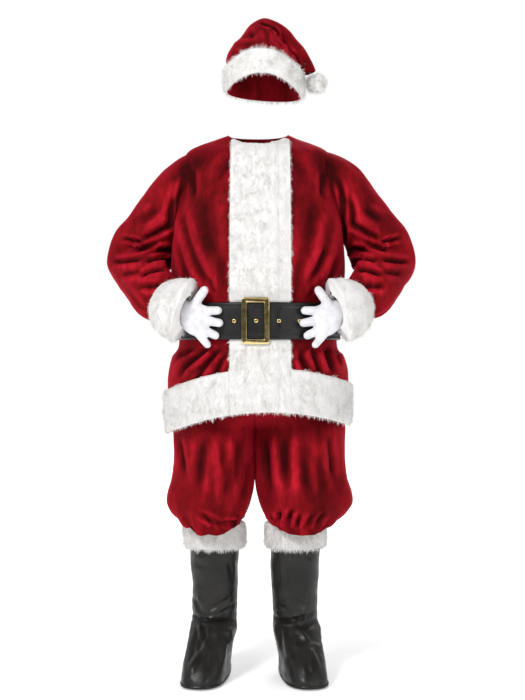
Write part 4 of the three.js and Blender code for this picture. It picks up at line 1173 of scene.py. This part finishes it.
def knit_material():
    material, shader, node, link = new_material("white_knit")
    place = node("ShaderNodeTexCoord", -900)
    rib = node("ShaderNodeTexWave", -650, -150, wave_type="BANDS", bands_direction="Z")
    rib.inputs["Scale"].default_value, rib.inputs["Distortion"].default_value = 420.0, 1.2
    soft = node("ShaderNodeTexNoise", -650, 150)
    soft.inputs["Scale"].default_value, soft.inputs["Detail"].default_value = 60.0, 4.0
    link(place.outputs["Object"], rib.inputs["Vector"])
    link(place.outputs["Object"], soft.inputs["Vector"])
    stops = [(0.35, (0.58, 0.575, 0.61)), (0.6, (0.68, 0.675, 0.705))]
    link(ramp(node, link, soft.outputs["Fac"], stops, -350, 150), shader.inputs["Base Color"])
    shader.inputs["Roughness"].default_value = 0.85
    shader.inputs["Sheen Weight"].default_value = 0.2
    bump(node, link, shader, rib.outputs["Fac"], 0.18, 0.0005, 0, -200)
    return material


knit = knit_material()
for name, side in SIDES.items():
    parts = [Form(on_side(palm_rows, side), bent=True)]
    for k in range(5):
        f = {n: values[k] for n, values in fingers.items()}
        start, tip = np.array([f["fromX"], KNUCKLES_Y, f["fromZ"]]), np.array([f["toX"], f["toY"], f["toZ"]])
        shares = np.array([0, 0.3, 0.6, 0.84, 0.94, 0.985, 1])
        radii = np.array([1.03, 1.0, 0.96, 0.9, 0.68, 0.36, 0.08])
        path = start + (tip - start) * shares[:, None]
        path[:, 1] += 2.5 * np.sin(shares * math.pi)
        r = f["radius"] * radii
        rows = {"x": path[:, 0], "y": path[:, 1], "z": path[:, 2], "across": r, "front": r, "back": r}
        parts.append(Form(on_side(rows, side), bent=True))
    points, faces = [], []
    for form in parts:
        t = np.linspace(0, form.last, 40)
        grid = form.at(*np.broadcast_arrays(np.linspace(0, 360, 33)[:-1][None], t[:, None]))
        first = sum(len(p) for p in points)
        quads = [[k + first for k in f] for f in grid_faces(40, 32, closed=True)]
        points += [grid.reshape(-1, 3), grid[0].mean(0)[None], grid[-1].mean(0)[None]]
        caps = [[first + (i + 1) % 32, first + i, first + 1280] for i in range(32)]
        caps += [[first + 1248 + i, first + 1248 + (i + 1) % 32, first + 1281] for i in range(32)]
        faces += quads + caps
    glove = new_piece("glove_" + name, np.concatenate(points), faces, knit)
    only(glove)
    bpy.ops.object.mode_set(mode="EDIT")
    bpy.ops.mesh.select_all(action="SELECT")
    bpy.ops.mesh.normals_make_consistent(inside=False)
    bpy.ops.object.mode_set(mode="OBJECT")
    modifier = glove.modifiers.new("skin", "REMESH")
    modifier.mode, modifier.voxel_size = "VOXEL", 2.8 * MM
    bpy.ops.object.modifier_apply(modifier=modifier.name)
    modifier = glove.modifiers.new("soft", "SMOOTH")
    modifier.factor, modifier.iterations = 0.6, 7
    bpy.ops.object.modifier_apply(modifier=modifier.name)
    wrist = (parts[0].centre(np.array([0.25]))[0] - [0, 0, NECK_HEIGHT]) * MM
    away = -parts[0].along(np.array([0.25]))[0]
    bpy.ops.object.mode_set(mode="EDIT")
    bpy.ops.mesh.select_all(action="SELECT")
    bpy.ops.mesh.bisect(plane_co=wrist, plane_no=away, use_fill=False, clear_outer=True)
    bpy.ops.object.mode_set(mode="OBJECT")
    modifier = glove.modifiers.new("knit", "SOLIDIFY")
    modifier.thickness, modifier.offset = GLOVE * MM, -1
    bpy.ops.object.modifier_apply(modifier=modifier.name)
    bpy.ops.object.shade_smooth_by_angle(angle=math.radians(60))
    finished(glove, "glove_" + name, (0.24, 0.2))

# ---- Hat -----------------------------------------------------------------------------------------
# A long cone of the same plush in two halves, folded over to the wearer's left so that its tail
# hangs beside the head, with a deep fur band and a round fur pompom on its tip.
hat_rows = table(
    "outerX outerZ innerX innerZ depth frontRise backRise",
    [-89, 1668, 123, 1652, 117, 42, 4],
    [-89, 1736, 123, 1720, 118, 42, 2],
    [-92, 1764, 117, 1750, 112, 27, 0],
    [-77, 1794, 101, 1775, 99, 13, 0],
    [-47, 1829, 86, 1797, 82, 3, 0],
    [-17, 1865, 74, 1813, 64, 0, 0],
    [16, 1880, 68, 1821, 52, 0, 0],
    [50, 1870, 70, 1825, 46, 0, 0],
    [81, 1847, 78, 1816, 40, 0, 0],
    [106, 1819, 88, 1800, 35, 0, 0],
    [130, 1787, 104, 1776, 29, 0, 0],
    [148, 1760, 121, 1750, 22, 0, 0],
    [162, 1727, 139, 1720, 14, 0, 0],
)
over, up = hat_rows["innerX"] - hat_rows["outerX"], hat_rows["innerZ"] - hat_rows["outerZ"]
crown = Form({
    "x": (hat_rows["outerX"] + hat_rows["innerX"]) / 2,
    "z": (hat_rows["outerZ"] + hat_rows["innerZ"]) / 2,
    "across": np.hypot(over, up) / 2,
    "turn": np.degrees(np.arctan2(up, over)),
    "front": hat_rows["depth"],
    "back": hat_rows["depth"],
    "frontRise": hat_rows["frontRise"],
    "backRise": hat_rows["backRise"],
})
HAT_SEAM, BAND_TOP_ROW, CROWN_END, TAIL_ROW, TAIL_FULLER = 10, 1, 11.96, 6.5, 5.0
crown_front_creases = table(
    "x1 z1 x2 z2 x3 z3 wide depth lift",
    [4, 1858, 18, 1846, 42, 1846, 5, 5.0, 3.0],
    [34, 1846, 60, 1836, 60, 1812, 5, 4.4, 2.6],
    [58, 1814, 84, 1796, 112, 1764, 6, 3.6, 2.2],
    [108, 1766, 124, 1744, 132, 1708, 5, 2.2, 1.4],
    [-52, 1812, -20, 1806, 6, 1826, 10, 2.4, 1.8],
    [-74, 1782, -40, 1790, -12, 1776, 9, 2.0, 1.6],
    [20, 1838, 26, 1806, 30, 1768, 7, 1.8, 1.6],
    [60, 1796, 66, 1778, 64, 1758, 7, 2.0, 1.6],
    [88, 1790, 90, 1772, 98, 1752, 7, 2.0, 1.6],
    [-30, 1838, -14, 1822, -16, 1796, 7, 2.0, 1.6],
)
crown_back_creases = table(
    "x1 z1 x2 z2 x3 z3 wide depth lift",
    [0, 1860, 24, 1842, 60, 1838, 6, 4.2, 2.4],
    [-60, 1800, -20, 1810, 20, 1790, 9, 2.4, 1.8],
    [40, 1820, 60, 1800, 96, 1770, 7, 3.0, 2.0],
    [10, 1800, 16, 1776, 12, 1752, 8, 2.0, 1.6],
)
POMPOM, POMPOM_RADIUS = np.array([169, -6, 1693]), 33
crown_flat = {"left": (0.36, 0.42), "right": (0.36, 0.42)}
for name, start in (("left", HAT_SEAM), ("right", HAT_SEAM - 180)):
    t = crown.rows_every(4.4, 0, CROWN_END, angle=-90)
    half = half_seam(crown, t)
    angle, places = panel_grid(crown, t, start + half, start + 180 - half, 4.8)
    points = crown.at(angle, places)
    cos = np.cos(np.radians(angle))
    push = 1.7 * creased(points, crown_front_creases, np.clip(cos * 3, 0, 1))
    push = push + creased(points, crown_back_creases, np.clip(-cos * 3, 0, 1))
    push = push + gathered(angle, places, 1.4, 0.7, 17, 1.4, 31) + lumps(points, 60, 8) * 1.2
    calm = np.clip(places - 0.9, 0, 1)
    wide = np.linalg.norm(np.diff(points, axis=1), axis=-1).sum(1, keepdims=True)
    push = sewn_in(push * calm, np.linspace(0, 1, angle.shape[1])[None], wide, 1.0)
    fuller = push + TAIL_FULLER * np.clip((places - TAIL_ROW) / 2, 0, 1)
    points = with_fold(crown.at(angle, places, fuller), push, 5.0)
    faces = grid_faces(*angle.shape)
    off = np.linalg.norm(points[:, :3] - POMPOM, axis=1)
    points, faces = clipped(points, faces, off - POMPOM_RADIUS * 0.72)
    middle = crown.centre(places).reshape(-1, 3)[: len(points)]
    piece = new_piece("hat_crown_" + name, points, faces, plush, middle[[f[0] for f in faces]])
    thicken(piece, PLUSH)
    finished(piece, "hat_crown_" + name, crown_flat[name])
t = crown.rows_every(4.5, 0, BAND_TOP_ROW, angle=-90)
angle, places = np.broadcast_arrays(np.linspace(0, 360, 145)[:-1][None], t[:, None])
fur_trim("hat_band_fur", crown, angle, places, FUR, (0.68, 0.072), 330, closed=True, hang=0.2, length=10.5)
bpy.ops.object.select_all(action="DESELECT")
bpy.ops.mesh.primitive_uv_sphere_add(segments=48, ring_count=28, radius=(POMPOM_RADIUS - 7) * MM,
                                     location=(POMPOM - [0, 0, NECK_HEIGHT]) * MM)
pompom = bpy.context.object
pompom.name = "hat_pompom"
bpy.ops.object.transform_apply(location=True, rotation=True, scale=True)
ball = np.array([v.co[:] for v in pompom.data.vertices]) / MM + [0, 0, NECK_HEIGHT]
ball = ball + unit(ball - POMPOM) * (2.2 * lumps(ball, 22, 9))[:, None]
for vertex, place in zip(pompom.data.vertices, (ball - [0, 0, NECK_HEIGHT]) * MM):
    vertex.co = place
pompom.data.materials.append(fur_cloth)
bpy.ops.object.shade_smooth()
u, v = np.linspace(0, 2 * math.pi, 61)[:-1][None], np.linspace(0.06, math.pi - 0.06, 40)[:, None]
skin = np.stack(np.broadcast_arrays(np.sin(v) * np.cos(u), np.sin(v) * np.sin(u), np.cos(v)), -1)
hair("hat_pompom_pile", POMPOM + skin * (POMPOM_RADIUS - 8), True, 34, 12, 350, 0.25, 0.0)
finished(pompom, "hat_pompom")

# ---- Breeches ------------------------------------------------------------------------------------
# Wide plush breeches: two panels to a leg, gathered by elastic under the knee, where the fullness
# hangs over in lobes. The plain waistband is gathered too, and the jacket hides it.
LEGS_MIDDLE, LEG_BULK = -9, 0.055
breeches_rows = table(
    "z blend across front back inner half legFront legBack frontRise backRise",
    [1014, 0, 190, 149, 124, 2, 97, 140, 120, 0, 0],
    [984, 0, 194, 151, 127, 2, 99, 140, 122, 0, 0],
    [900, 0, 212, 160, 140, 2, 106, 140, 128, 0, 0],
    [820, 0, 232, 163, 148, 2, 114, 140, 134, 0, 0],
    [765, 0, 241, 160, 151, 2, 119, 140, 140, 0, 0],
    [736, 0.3, 246, 156, 152, 2, 122, 138, 140, 0, 0],
    [713, 0.7, 248, 152, 150, 2, 124, 134, 138, 0, 0],
    [694, 1, 248, 150, 148, 2, 123, 130, 135, 0, 0],
    [652, 1, 248, 150, 148, 2, 122, 126, 132, 0, 0],
    [606, 1, 248, 150, 148, 2, 122, 124, 130, 0, 0],
    [560, 1, 248, 150, 148, 2, 125, 126, 130, 0, 0],
    [520, 1, 248, 150, 148, 5, 130, 130, 130, 0, 0],
    [489, 1, 248, 150, 148, 12, 128, 131, 128, 0, 0],
    [465, 1, 248, 150, 148, 21, 117, 128, 118, -14, -8],
    [452, 1, 248, 150, 148, 29, 104, 124, 110, -43, -8],
    [448, 1, 248, 150, 148, 31, 98, 118, 104, -40, -4],
    [455, 1, 248, 150, 148, 33, 87, 108, 90, -10, 0],
    [465, 1, 248, 150, 148, 34, 82, 78, 78, 0, 0],
)
breeches_folds = table(
    "angle at push wide long",
    [0, 14, -13, 12, 1.3],
    [34, 14, -8, 10, 1.6],
    [-28, 13.5, -7, 10, 1.5],
    [180, 14, -10, 16, 1.4],
    [150, 13, -6, 12, 1.6],
    [22, 10, 5, 12, 2.4],
    [-12, 10, 4, 10, 2.6],
    [62, 11, 5, 12, 2],
    [200, 10, 4, 14, 2.6],
)


class Leg(Form):
    """A leg's ring passes from half of the hips' ring (blend 0) to its own (blend 1)."""

    def bare(self, angle, t):
        blend = np.clip(self.of("blend", t), 0, 1)
        own = self.side * angle
        leg, hip = np.radians(own), np.radians(45 + own / 2)
        half = self.of("half", t) * (1 + self.side * LEG_BULK)
        ahead = np.cos(leg) > 0
        leg_x = self.of("inner", t) + half + half * np.sin(leg)
        leg_y = -np.cos(leg) * np.where(ahead, self.of("legFront", t), self.of("legBack", t))
        hip_x = SEAM / 2 + self.of("across", t) * np.sin(hip)
        hip_y = -np.cos(hip) * np.where(np.cos(hip) > 0, self.of("front", t), self.of("back", t))
        rise = np.cos(leg) ** 2 * np.where(ahead, self.of("frontRise", t), self.of("backRise", t))
        x = LEGS_MIDDLE + self.side * (hip_x + (leg_x - hip_x) * blend)
        return np.stack([x, hip_y + (leg_y - hip_y) * blend, self.of("z", t) + rise], -1)

    def normal(self, angle, t):
        across = self.bare(angle + 1, t) - self.bare(angle - 1, t)
        along = self.bare(angle, t + 0.03) - self.bare(angle, t - 0.03)
        return unit(np.cross(along, across))

    def folded(self, angle, t):
        return super().folded(angle, t) * np.clip(self.of("blend", t), 0, 1)


breeches_front_creases = table(
    "x1 z1 x2 z2 x3 z3 wide depth lift",
    [-96, 690, -92, 600, -86, 500, 13, 4.0, 3.4],
    [-52, 700, -62, 600, -72, 520, 15, 3.6, 3.0],
    [-150, 700, -160, 600, -168, 520, 15, 3.0, 2.2],
    [-224, 690, -214, 620, -206, 570, 8, 3.6, 1.8],
    [-128, 620, -124, 560, -134, 480, 12, 1.8, 1.4],
    [-28, 640, -34, 560, -52, 480, 10, 2.6, 2.0],
    [-176, 474, -124, 452, -92, 428, 8, 2.4, 2.8],
    [-104, 446, -84, 436, -52, 440, 7, 7.5, 4.4],
    [-150, 462, -130, 444, -116, 418, 6, 2.4, 2.2],
    [-60, 470, -52, 450, -42, 434, 7, 3.0, 2.4],
    [22, 700, 28, 600, 44, 500, 13, 3.6, 2.6],
    [74, 700, 72, 600, 80, 520, 16, 3.4, 3.0],
    [128, 700, 132, 600, 138, 510, 15, 2.6, 2.2],
    [196, 700, 206, 620, 208, 560, 9, 3.6, 2.0],
    [160, 640, 176, 580, 186, 500, 13, 1.8, 1.6],
    [60, 476, 62, 456, 52, 424, 7, 6.0, 4.4],
    [98, 484, 88, 458, 82, 424, 7, 6.5, 5.0],
    [40, 462, 44, 444, 58, 430, 7, 3.6, 2.6],
    [118, 470, 112, 446, 106, 424, 7, 4.4, 3.6],
    [156, 470, 142, 448, 134, 424, 8, 3.0, 2.4],
    [190, 474, 174, 456, 160, 438, 7, 2.6, 2.0],
)
breeches_back_creases = table(
    "x1 z1 x2 z2 x3 z3 wide depth lift",
    [-140, 700, -136, 600, -130, 500, 15, 3.8, 2.8],
    [-70, 720, -76, 620, -84, 520, 14, 3.6, 2.6],
    [-196, 690, -200, 600, -190, 520, 11, 3.0, 2.0],
    [130, 700, 126, 600, 120, 500, 15, 3.8, 2.8],
    [62, 720, 70, 620, 78, 520, 14, 3.6, 2.6],
    [192, 690, 198, 600, 188, 520, 11, 3.0, 2.0],
    [-100, 800, -60, 770, -22, 722, 16, 2.8, 2.0],
    [88, 800, 48, 770, 8, 722, 16, 2.8, 2.0],
    [-150, 478, -140, 460, -128, 440, 8, 4.4, 3.2],
    [-86, 478, -92, 458, -96, 440, 8, 4.4, 3.2],
    [128, 478, 120, 460, 110, 440, 8, 4.4, 3.2],
    [70, 478, 76, 458, 84, 440, 8, 4.4, 3.2],
)
LEG_SEAM, INNER_FULLER, GAP_ROWS = 0.08, 3.6, (0.5, 11.4)
for name, side in SIDES.items():
    leg = Leg(breeches_rows, folds=breeches_folds, side=side)
    leg.last = len(breeches_rows["z"]) - 1
    t = np.concatenate([leg.rows_every(7, 1, 12, angle=0)[:-1], leg.rows_every(4, 12, 17, angle=0)])
    for part, start in (("front", -90), ("back", 90)):
        share = np.linspace(0, 1, 64)
        angle = side * (start + LEG_SEAM + (180 - 2 * LEG_SEAM) * share)
        angle, places = np.broadcast_arrays(angle[None], t[:, None])
        points = leg.at(angle, places)
        creases = breeches_front_creases if part == "front" else breeches_back_creases
        tucked = np.clip((15.3 - places) / 0.8, 0, 1)
        reach = np.abs(np.cos(np.radians(angle)))
        push = 1.9 * creased(points, creases, np.clip(reach * 3, 0, 1) * tucked)
        push = push + gathered(angle, places, 15.4, 2.2, 11, 3.2, 50 + side)
        push = push + gathered(angle, places, 1, 1.2, 16, 2.0, 52)
        push = push + lumps(points, 120, 12 + side) * 2.0 + lumps(points, 38, 13) * 0.45
        wide = np.linalg.norm(np.diff(points, axis=1), axis=-1).sum(1, keepdims=True)
        push = sewn_in(push * np.clip(np.minimum(share, 1 - share) * 14, 0, 1)[None], share[None], wide, 1.2)
        inner = np.clip(-side * np.sin(np.radians(angle)) * 4 - 3, 0, 1)
        inner = inner * np.clip(places - GAP_ROWS[0], 0, 1) * np.clip((GAP_ROWS[1] - places) / 2, 0, 1)
        points = with_fold(leg.at(angle, places, push + INNER_FULLER * inner), push)
        faces = grid_faces(*angle.shape)
        full = leg.bare(np.linspace(0, 360, 25)[None], np.broadcast_to(t[:, None], (len(t), 25)))
        middle = np.repeat(full.mean(1), angle.shape[1], 0)[[f[0] for f in faces]]
        node_name = f"breeches_{part}_{name}"
        piece = new_piece(node_name, points, faces, plush, middle)
        thicken(piece, PLUSH)
        finished(piece, node_name, (0.44, 0.72))
waist = Form({**{n: v[:2] for n, v in breeches_rows.items()}, "x": np.full(2, float(LEGS_MIDDLE))})
t = np.linspace(0, 0.98, 8)
angle, places = np.broadcast_arrays(np.linspace(0, 360, 241)[:-1][None], t[:, None])
band = waist.at(angle, places, 1.3 * np.sin(np.radians(angle) * 46) * np.sin(places * math.pi))
faces = grid_faces(*angle.shape, closed=True)
middle = waist.centre(places).reshape(-1, 3)[[f[0] for f in faces]]
piece = new_piece("breeches_waistband", band.reshape(-1, 3), faces, plush, middle)
thicken(piece, 2 * PLUSH)
finished(piece, "breeches_waistband", (1.05, 0.031))

# ---- Boot tops -----------------------------------------------------------------------------------
# Covers of black coated cloth that make shoes look like boots: a shaft and a foot cover in one,
# creased at the ankle and pulled into soft rays over the foot, bound at the lower edge, with a fur top.
BOOTS_MIDDLE, BOOT_OUT, BOOT_BACK, TOES_OUT = -9, 116, 4, 11
BOOT_FUR, VINYL = 23, 1.4
boot_rows = table(
    "y z across front back square frontRise backRise",
    [0, 472, 66, 64, 66, 2, 0, 0],
    [0, 434, 70, 69, 70, 2, 0, 0],
    [0, 400, 71, 70, 72, 2, 0, 0],
    [0, 360, 71, 70, 73, 2, 0, 0],
    [0, 300, 69, 67, 75, 2, 0, 0],
    [0, 225, 65, 64, 68, 2, 0, 0],
    [0, 178, 64, 64, 62, 2, 0, 0],
    [0, 152, 66, 70, 60, 2, 0, 0],
    [-18, 124, 67, 85, 74, 2.1, 0, 0],
    [-52, 94, 63, 100, 108, 2.2, 0, 4],
    [-94, 60, 60, 102, 153, 2.3, 0, 14],
    [-122, 28, 59, 98, 182, 2.4, 0, 26],
    [-132, 10, 59, 95, 192, 2.4, 0, 32],
    [-134, 2, 59, 94, 194, 2.4, 0, 33],
)
boot_folds = table(
    "angle at push wide long",
    [0, 7, -6, 70, 0.35],
    [30, 7.8, 4, 50, 0.35],
    [-60, 6.3, -4, 50, 0.3],
    [180, 6.8, -5, 60, 0.35],
    [-20, 9, -4, 16, 0.9],
    [24, 9.6, -4, 16, 0.9],
)


class Boot(Form):
    """A boot's form in its place: turned out by the toes' angle and moved under its leg."""

    def put(self, points, shift=1):
        turn = math.radians(self.foot * TOES_OUT)
        x = points[..., 0] * math.cos(turn) - points[..., 1] * math.sin(turn)
        y = points[..., 0] * math.sin(turn) + points[..., 1] * math.cos(turn)
        x = x + shift * (BOOTS_MIDDLE + self.foot * BOOT_OUT)
        return np.stack([x, y + shift * BOOT_BACK, points[..., 2]], -1)

    def bare(self, angle, t):
        return self.put(super().bare(angle, t))

    def normal(self, angle, t):
        across = self.bare(angle + 1, t) - self.bare(angle - 1, t)
        along = self.bare(angle, t + 0.05) - self.bare(angle, t - 0.05)
        normal = unit(np.cross(across, along))
        outward = self.bare(angle, t) - self.put(self.centre(t))
        return np.where((normal * outward).sum(-1, keepdims=True) < 0, -normal, normal)


boot_creases = table(
    "x1 z1 x2 z2 x3 z3 wide depth lift",
    [-190, 169, -130, 148, -62, 160, 6, 7.0, 4.4],
    [-178, 252, -132, 262, -104, 246, 5, 2.2, 2.0],
    [-176, 228, -150, 206, -140, 180, 9, -3.6, -1.2],
    [-150, 186, -110, 200, -70, 226, 7, 3.2, 2.8],
    [-184, 220, -170, 200, -164, 176, 6, 2.8, 2.0],
    [-112, 176, -84, 184, -64, 204, 6, 3.0, 2.4],
    [-170, 150, -160, 126, -150, 96, 6, -4.4, -2.0],
    [-148, 150, -150, 120, -168, 76, 6, 3.4, 3.2],
    [-150, 110, -172, 70, -190, 34, 8, -3.2, -1.6],
    [-130, 140, -124, 90, -132, 40, 9, 2.6, 2.4],
    [-100, 140, -82, 104, -82, 54, 8, 3.2, 3.0],
    [-84, 120, -92, 84, -100, 36, 7, -2.4, -1.2],
    [-184, 316, -160, 320, -120, 306, 9, 1.6, 1.4],
    [-84, 330, -74, 300, -78, 266, 7, 2.2, 1.8],
    [-170, 350, -150, 344, -130, 350, 6, 1.4, 1.2],
    [34, 166, 86, 142, 170, 184, 6, 7.0, 4.4],
    [96, 146, 128, 128, 146, 106, 6, -4.8, -2.2],
    [144, 108, 164, 98, 186, 88, 5, -3.2, -1.8],
    [142, 106, 158, 76, 172, 44, 6, -3.4, -2.0],
    [88, 146, 92, 104, 106, 64, 8, 3.6, 3.0],
    [62, 152, 58, 108, 76, 52, 8, 3.4, 2.8],
    [104, 116, 118, 104, 132, 112, 7, 2.6, 2.2],
    [128, 100, 134, 66, 146, 36, 7, 2.4, 2.2],
    [50, 200, 76, 196, 96, 176, 6, 2.6, 2.2],
    [70, 226, 110, 214, 140, 196, 7, 2.4, 2.2],
    [150, 214, 130, 196, 104, 186, 6, 2.4, 2.0],
    [108, 262, 106, 232, 108, 206, 4, 1.2, 1.2],
    [48, 330, 56, 290, 50, 250, 8, 2.0, 1.6],
    [110, 350, 140, 344, 164, 330, 8, 1.6, 1.4],
    [64, 312, 100, 318, 130, 300, 9, 1.4, 1.2],
)
boot_back_creases = table(
    "x1 z1 x2 z2 x3 z3 wide depth lift",
    [-190, 168, -124, 156, -62, 172, 7, 5.0, 3.4],
    [-180, 210, -130, 196, -70, 206, 8, 3.0, 2.4],
    [-170, 330, -130, 318, -84, 330, 9, 1.8, 1.4],
    [-150, 128, -130, 96, -120, 50, 9, 2.6, 2.2],
    [36, 172, 106, 154, 170, 168, 7, 5.0, 3.4],
    [50, 208, 110, 196, 160, 212, 8, 3.0, 2.4],
    [60, 330, 110, 320, 150, 332, 9, 1.8, 1.4],
    [110, 128, 100, 96, 96, 50, 9, 2.6, 2.2],
)
boot_vinyl = vinyl_material("black_boot_vinyl", (0.010, 0.0095, 0.009), (0.020, 0.019, 0.018),
                            0.37, 0.3, 0.8)
for name, side in SIDES.items():
    boot = Boot(boot_rows, folds=boot_folds)
    boot.foot = side
    t = boot.rows_every(5.0, 0, boot.last, angle=0)
    angle, places = np.broadcast_arrays(np.linspace(0, 360, 103)[:-1][None], t[:, None])
    points = boot.at(angle, places)
    cos = np.cos(np.radians(angle))
    push = creased(points, boot_creases, np.clip(cos * 3 + 0.3, 0, 1))
    push = push + creased(points, boot_back_creases, np.clip(-cos * 3, 0, 1))
    calm = np.clip((boot.last - places) / 1.2, 0, 1) * np.clip((places - 2.2) / 1.0, 0, 1)
    push = push * calm + lumps(points, 70, 14 + side) * 1.5 * calm + lumps(points, 24, 15) * 0.3 * calm
    shaft = boot.at(angle, places, push)
    faces = grid_faces(*angle.shape, closed=True)
    middle = boot.put(boot.centre(places)).reshape(-1, 3)[[f[0] for f in faces]]
    piece = new_piece("boot_shaft_" + name, shaft.reshape(-1, 3), faces, boot_vinyl, middle)
    thicken(piece, VINYL)
    finished(piece, "boot_shaft_" + name, (0.56, 0.62))
    t = np.linspace(boot.last - 0.95, boot.last, 6)
    angle, places = np.broadcast_arrays(np.linspace(0, 360, 121)[:-1][None], t[:, None])
    bulge = np.sin(np.linspace(0.12, math.pi - 0.12, 6))[:, None] * 1.5
    tape = shell_between("boot_binding_" + name, boot.at(angle, places, SEAM + 0.3 + bulge),
                         boot.at(angle, places, SEAM), belt_vinyl, closed=True)
    finished(tape, "boot_binding_" + name, (0.72, 0.012))
    t = boot.rows_every(4.5, 1, 3)
    angle, places = np.broadcast_arrays(np.linspace(0, 360, 101)[:-1][None], t[:, None])
    fur_trim("boot_fur_" + name, boot, angle, places, BOOT_FUR, (0.5, 0.076), 420 + 30 * side, closed=True,
             length=11, per_cm2=18, hang=0.5)

# ---- Floor, light and camera ---------------------------------------------------------------------
# A near-white floor that glows as painted light, more with distance, so that it fades into the
# white backdrop; soft light from all round, a large soft key from high on the front left, and a
# level camera that sees the suit from the front.


def glowing_floor_material():
    material, shader, node, link = new_material("pale_floor")
    place = node("ShaderNodeTexCoord", -700)
    cloud = node("ShaderNodeTexNoise", -500)
    cloud.inputs["Scale"].default_value = 1.2
    link(place.outputs["Object"], cloud.inputs["Vector"])
    stops = [(0.3, (0.90, 0.90, 0.90)), (0.7, (0.93, 0.93, 0.93))]
    link(ramp(node, link, cloud.outputs["Fac"], stops, -250), shader.inputs["Base Color"])
    shader.inputs["Roughness"].default_value = 0.9
    # Painted light: the floor glows, dimly at its middle and fully white from 3 m out, so that it fades into
    # the white backdrop.
    far = node("ShaderNodeVectorMath", -500, -250, operation="LENGTH")
    link(place.outputs["Object"], far.inputs[0])
    fade = node("ShaderNodeMapRange", -400, -250)
    fade.inputs["From Min"].default_value, fade.inputs["From Max"].default_value = 0.4, 3.0
    link(far.outputs["Value"], fade.inputs["Value"])
    stops = [(0.0, (0.34, 0.34, 0.34)), (1.0, (1.0, 1.0, 1.0))]
    painted_floor_glow = ramp(node, link, fade.outputs["Result"], stops, -250, -250)
    link(painted_floor_glow, shader.inputs["Emission Color"])
    shader.inputs["Emission Strength"].default_value = 1.0
    return material


bpy.ops.object.select_all(action="DESELECT")
bpy.ops.mesh.primitive_plane_add(size=30, location=(0, 0, -NECK_HEIGHT * MM - 0.002))
floor = bpy.context.object
floor.name = "floor"
floor.data.materials.append(glowing_floor_material())
floor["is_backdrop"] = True

world = bpy.data.worlds.new("soft_studio")
bpy.context.scene.world = world
world.use_nodes = True
sky = world.node_tree.nodes["Background"]
sky.inputs["Color"].default_value, sky.inputs["Strength"].default_value = (1, 1, 1, 1), 0.44
node, link = nodes_of(world.node_tree)
seen = node("ShaderNodeBackground")
seen.inputs["Color"].default_value, seen.inputs["Strength"].default_value = (1, 1, 1, 1), 1.0
compass, height = node("ShaderNodeTexCoord"), node("ShaderNodeSeparateXYZ")
link(compass.outputs["Generated"], height.inputs[0])
rise = node("ShaderNodeMapRange")
rise.inputs["From Min"].default_value = -1
link(height.outputs["Z"], rise.inputs["Value"])
greys = ((0.0, 0.5), (0.30, 0.5), (0.44, 0.10), (0.54, 0.06),
         (0.62, 0.85), (0.76, 0.9), (0.86, 0.15), (1.0, 0.15))
mirrored_room = node("ShaderNodeBackground")
bands = ramp(node, link, rise.outputs["Result"], [(at, (grey, grey, grey)) for at, grey in greys])
link(bands, mirrored_room.inputs["Color"])
path = node("ShaderNodeLightPath")
polished, choose = node("ShaderNodeMixShader"), node("ShaderNodeMixShader")
for mixed, ray, usual, special in ((polished, "Is Glossy Ray", sky, mirrored_room),
                                   (choose, "Is Camera Ray", polished, seen)):
    link(path.outputs[ray], mixed.inputs[0])
    link(usual.outputs[0], mixed.inputs[1])
    link(special.outputs[0], mixed.inputs[2])
link(choose.outputs[0], world.node_tree.nodes["World Output"].inputs["Surface"])


def softbox(name, place, aim, size, watts):
    light = bpy.data.lights.new(name, "AREA")
    light.shape, light.size, light.energy = "DISK", size, watts
    made = bpy.data.objects.new(name, light)
    bpy.context.scene.collection.objects.link(made)
    made.location = place
    made.rotation_euler = (Vector(aim) - Vector(place)).to_track_quat("-Z", "Y").to_euler()


softbox("key", (-1.7, -3.0, 1.7), (0, 0, -0.5), 1.0, 100)
softbox("fill", (2.4, -2.8, 0.4), (0, 0, -0.7), 1.6, 24)
softbox("back", (0.6, 2.6, 1.6), (0, 0, -0.3), 1.6, 40)

camera = bpy.data.objects.new("camera", bpy.data.cameras.new("camera"))
bpy.context.scene.collection.objects.link(camera)
camera.location = (0.013, -3.95, -0.589)
camera.rotation_euler = (math.radians(90), 0, 0)
camera.data.sensor_width, camera.data.lens = 36, 70.5
bpy.context.scene.camera = camera
bpy.context.scene.view_settings.view_transform = "Standard"

visual_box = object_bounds()
plain = lambda corners: [[float(x) for x in corner] for corner in corners]
{"cad": plain(cad_box), "visual": plain(visual_box)}
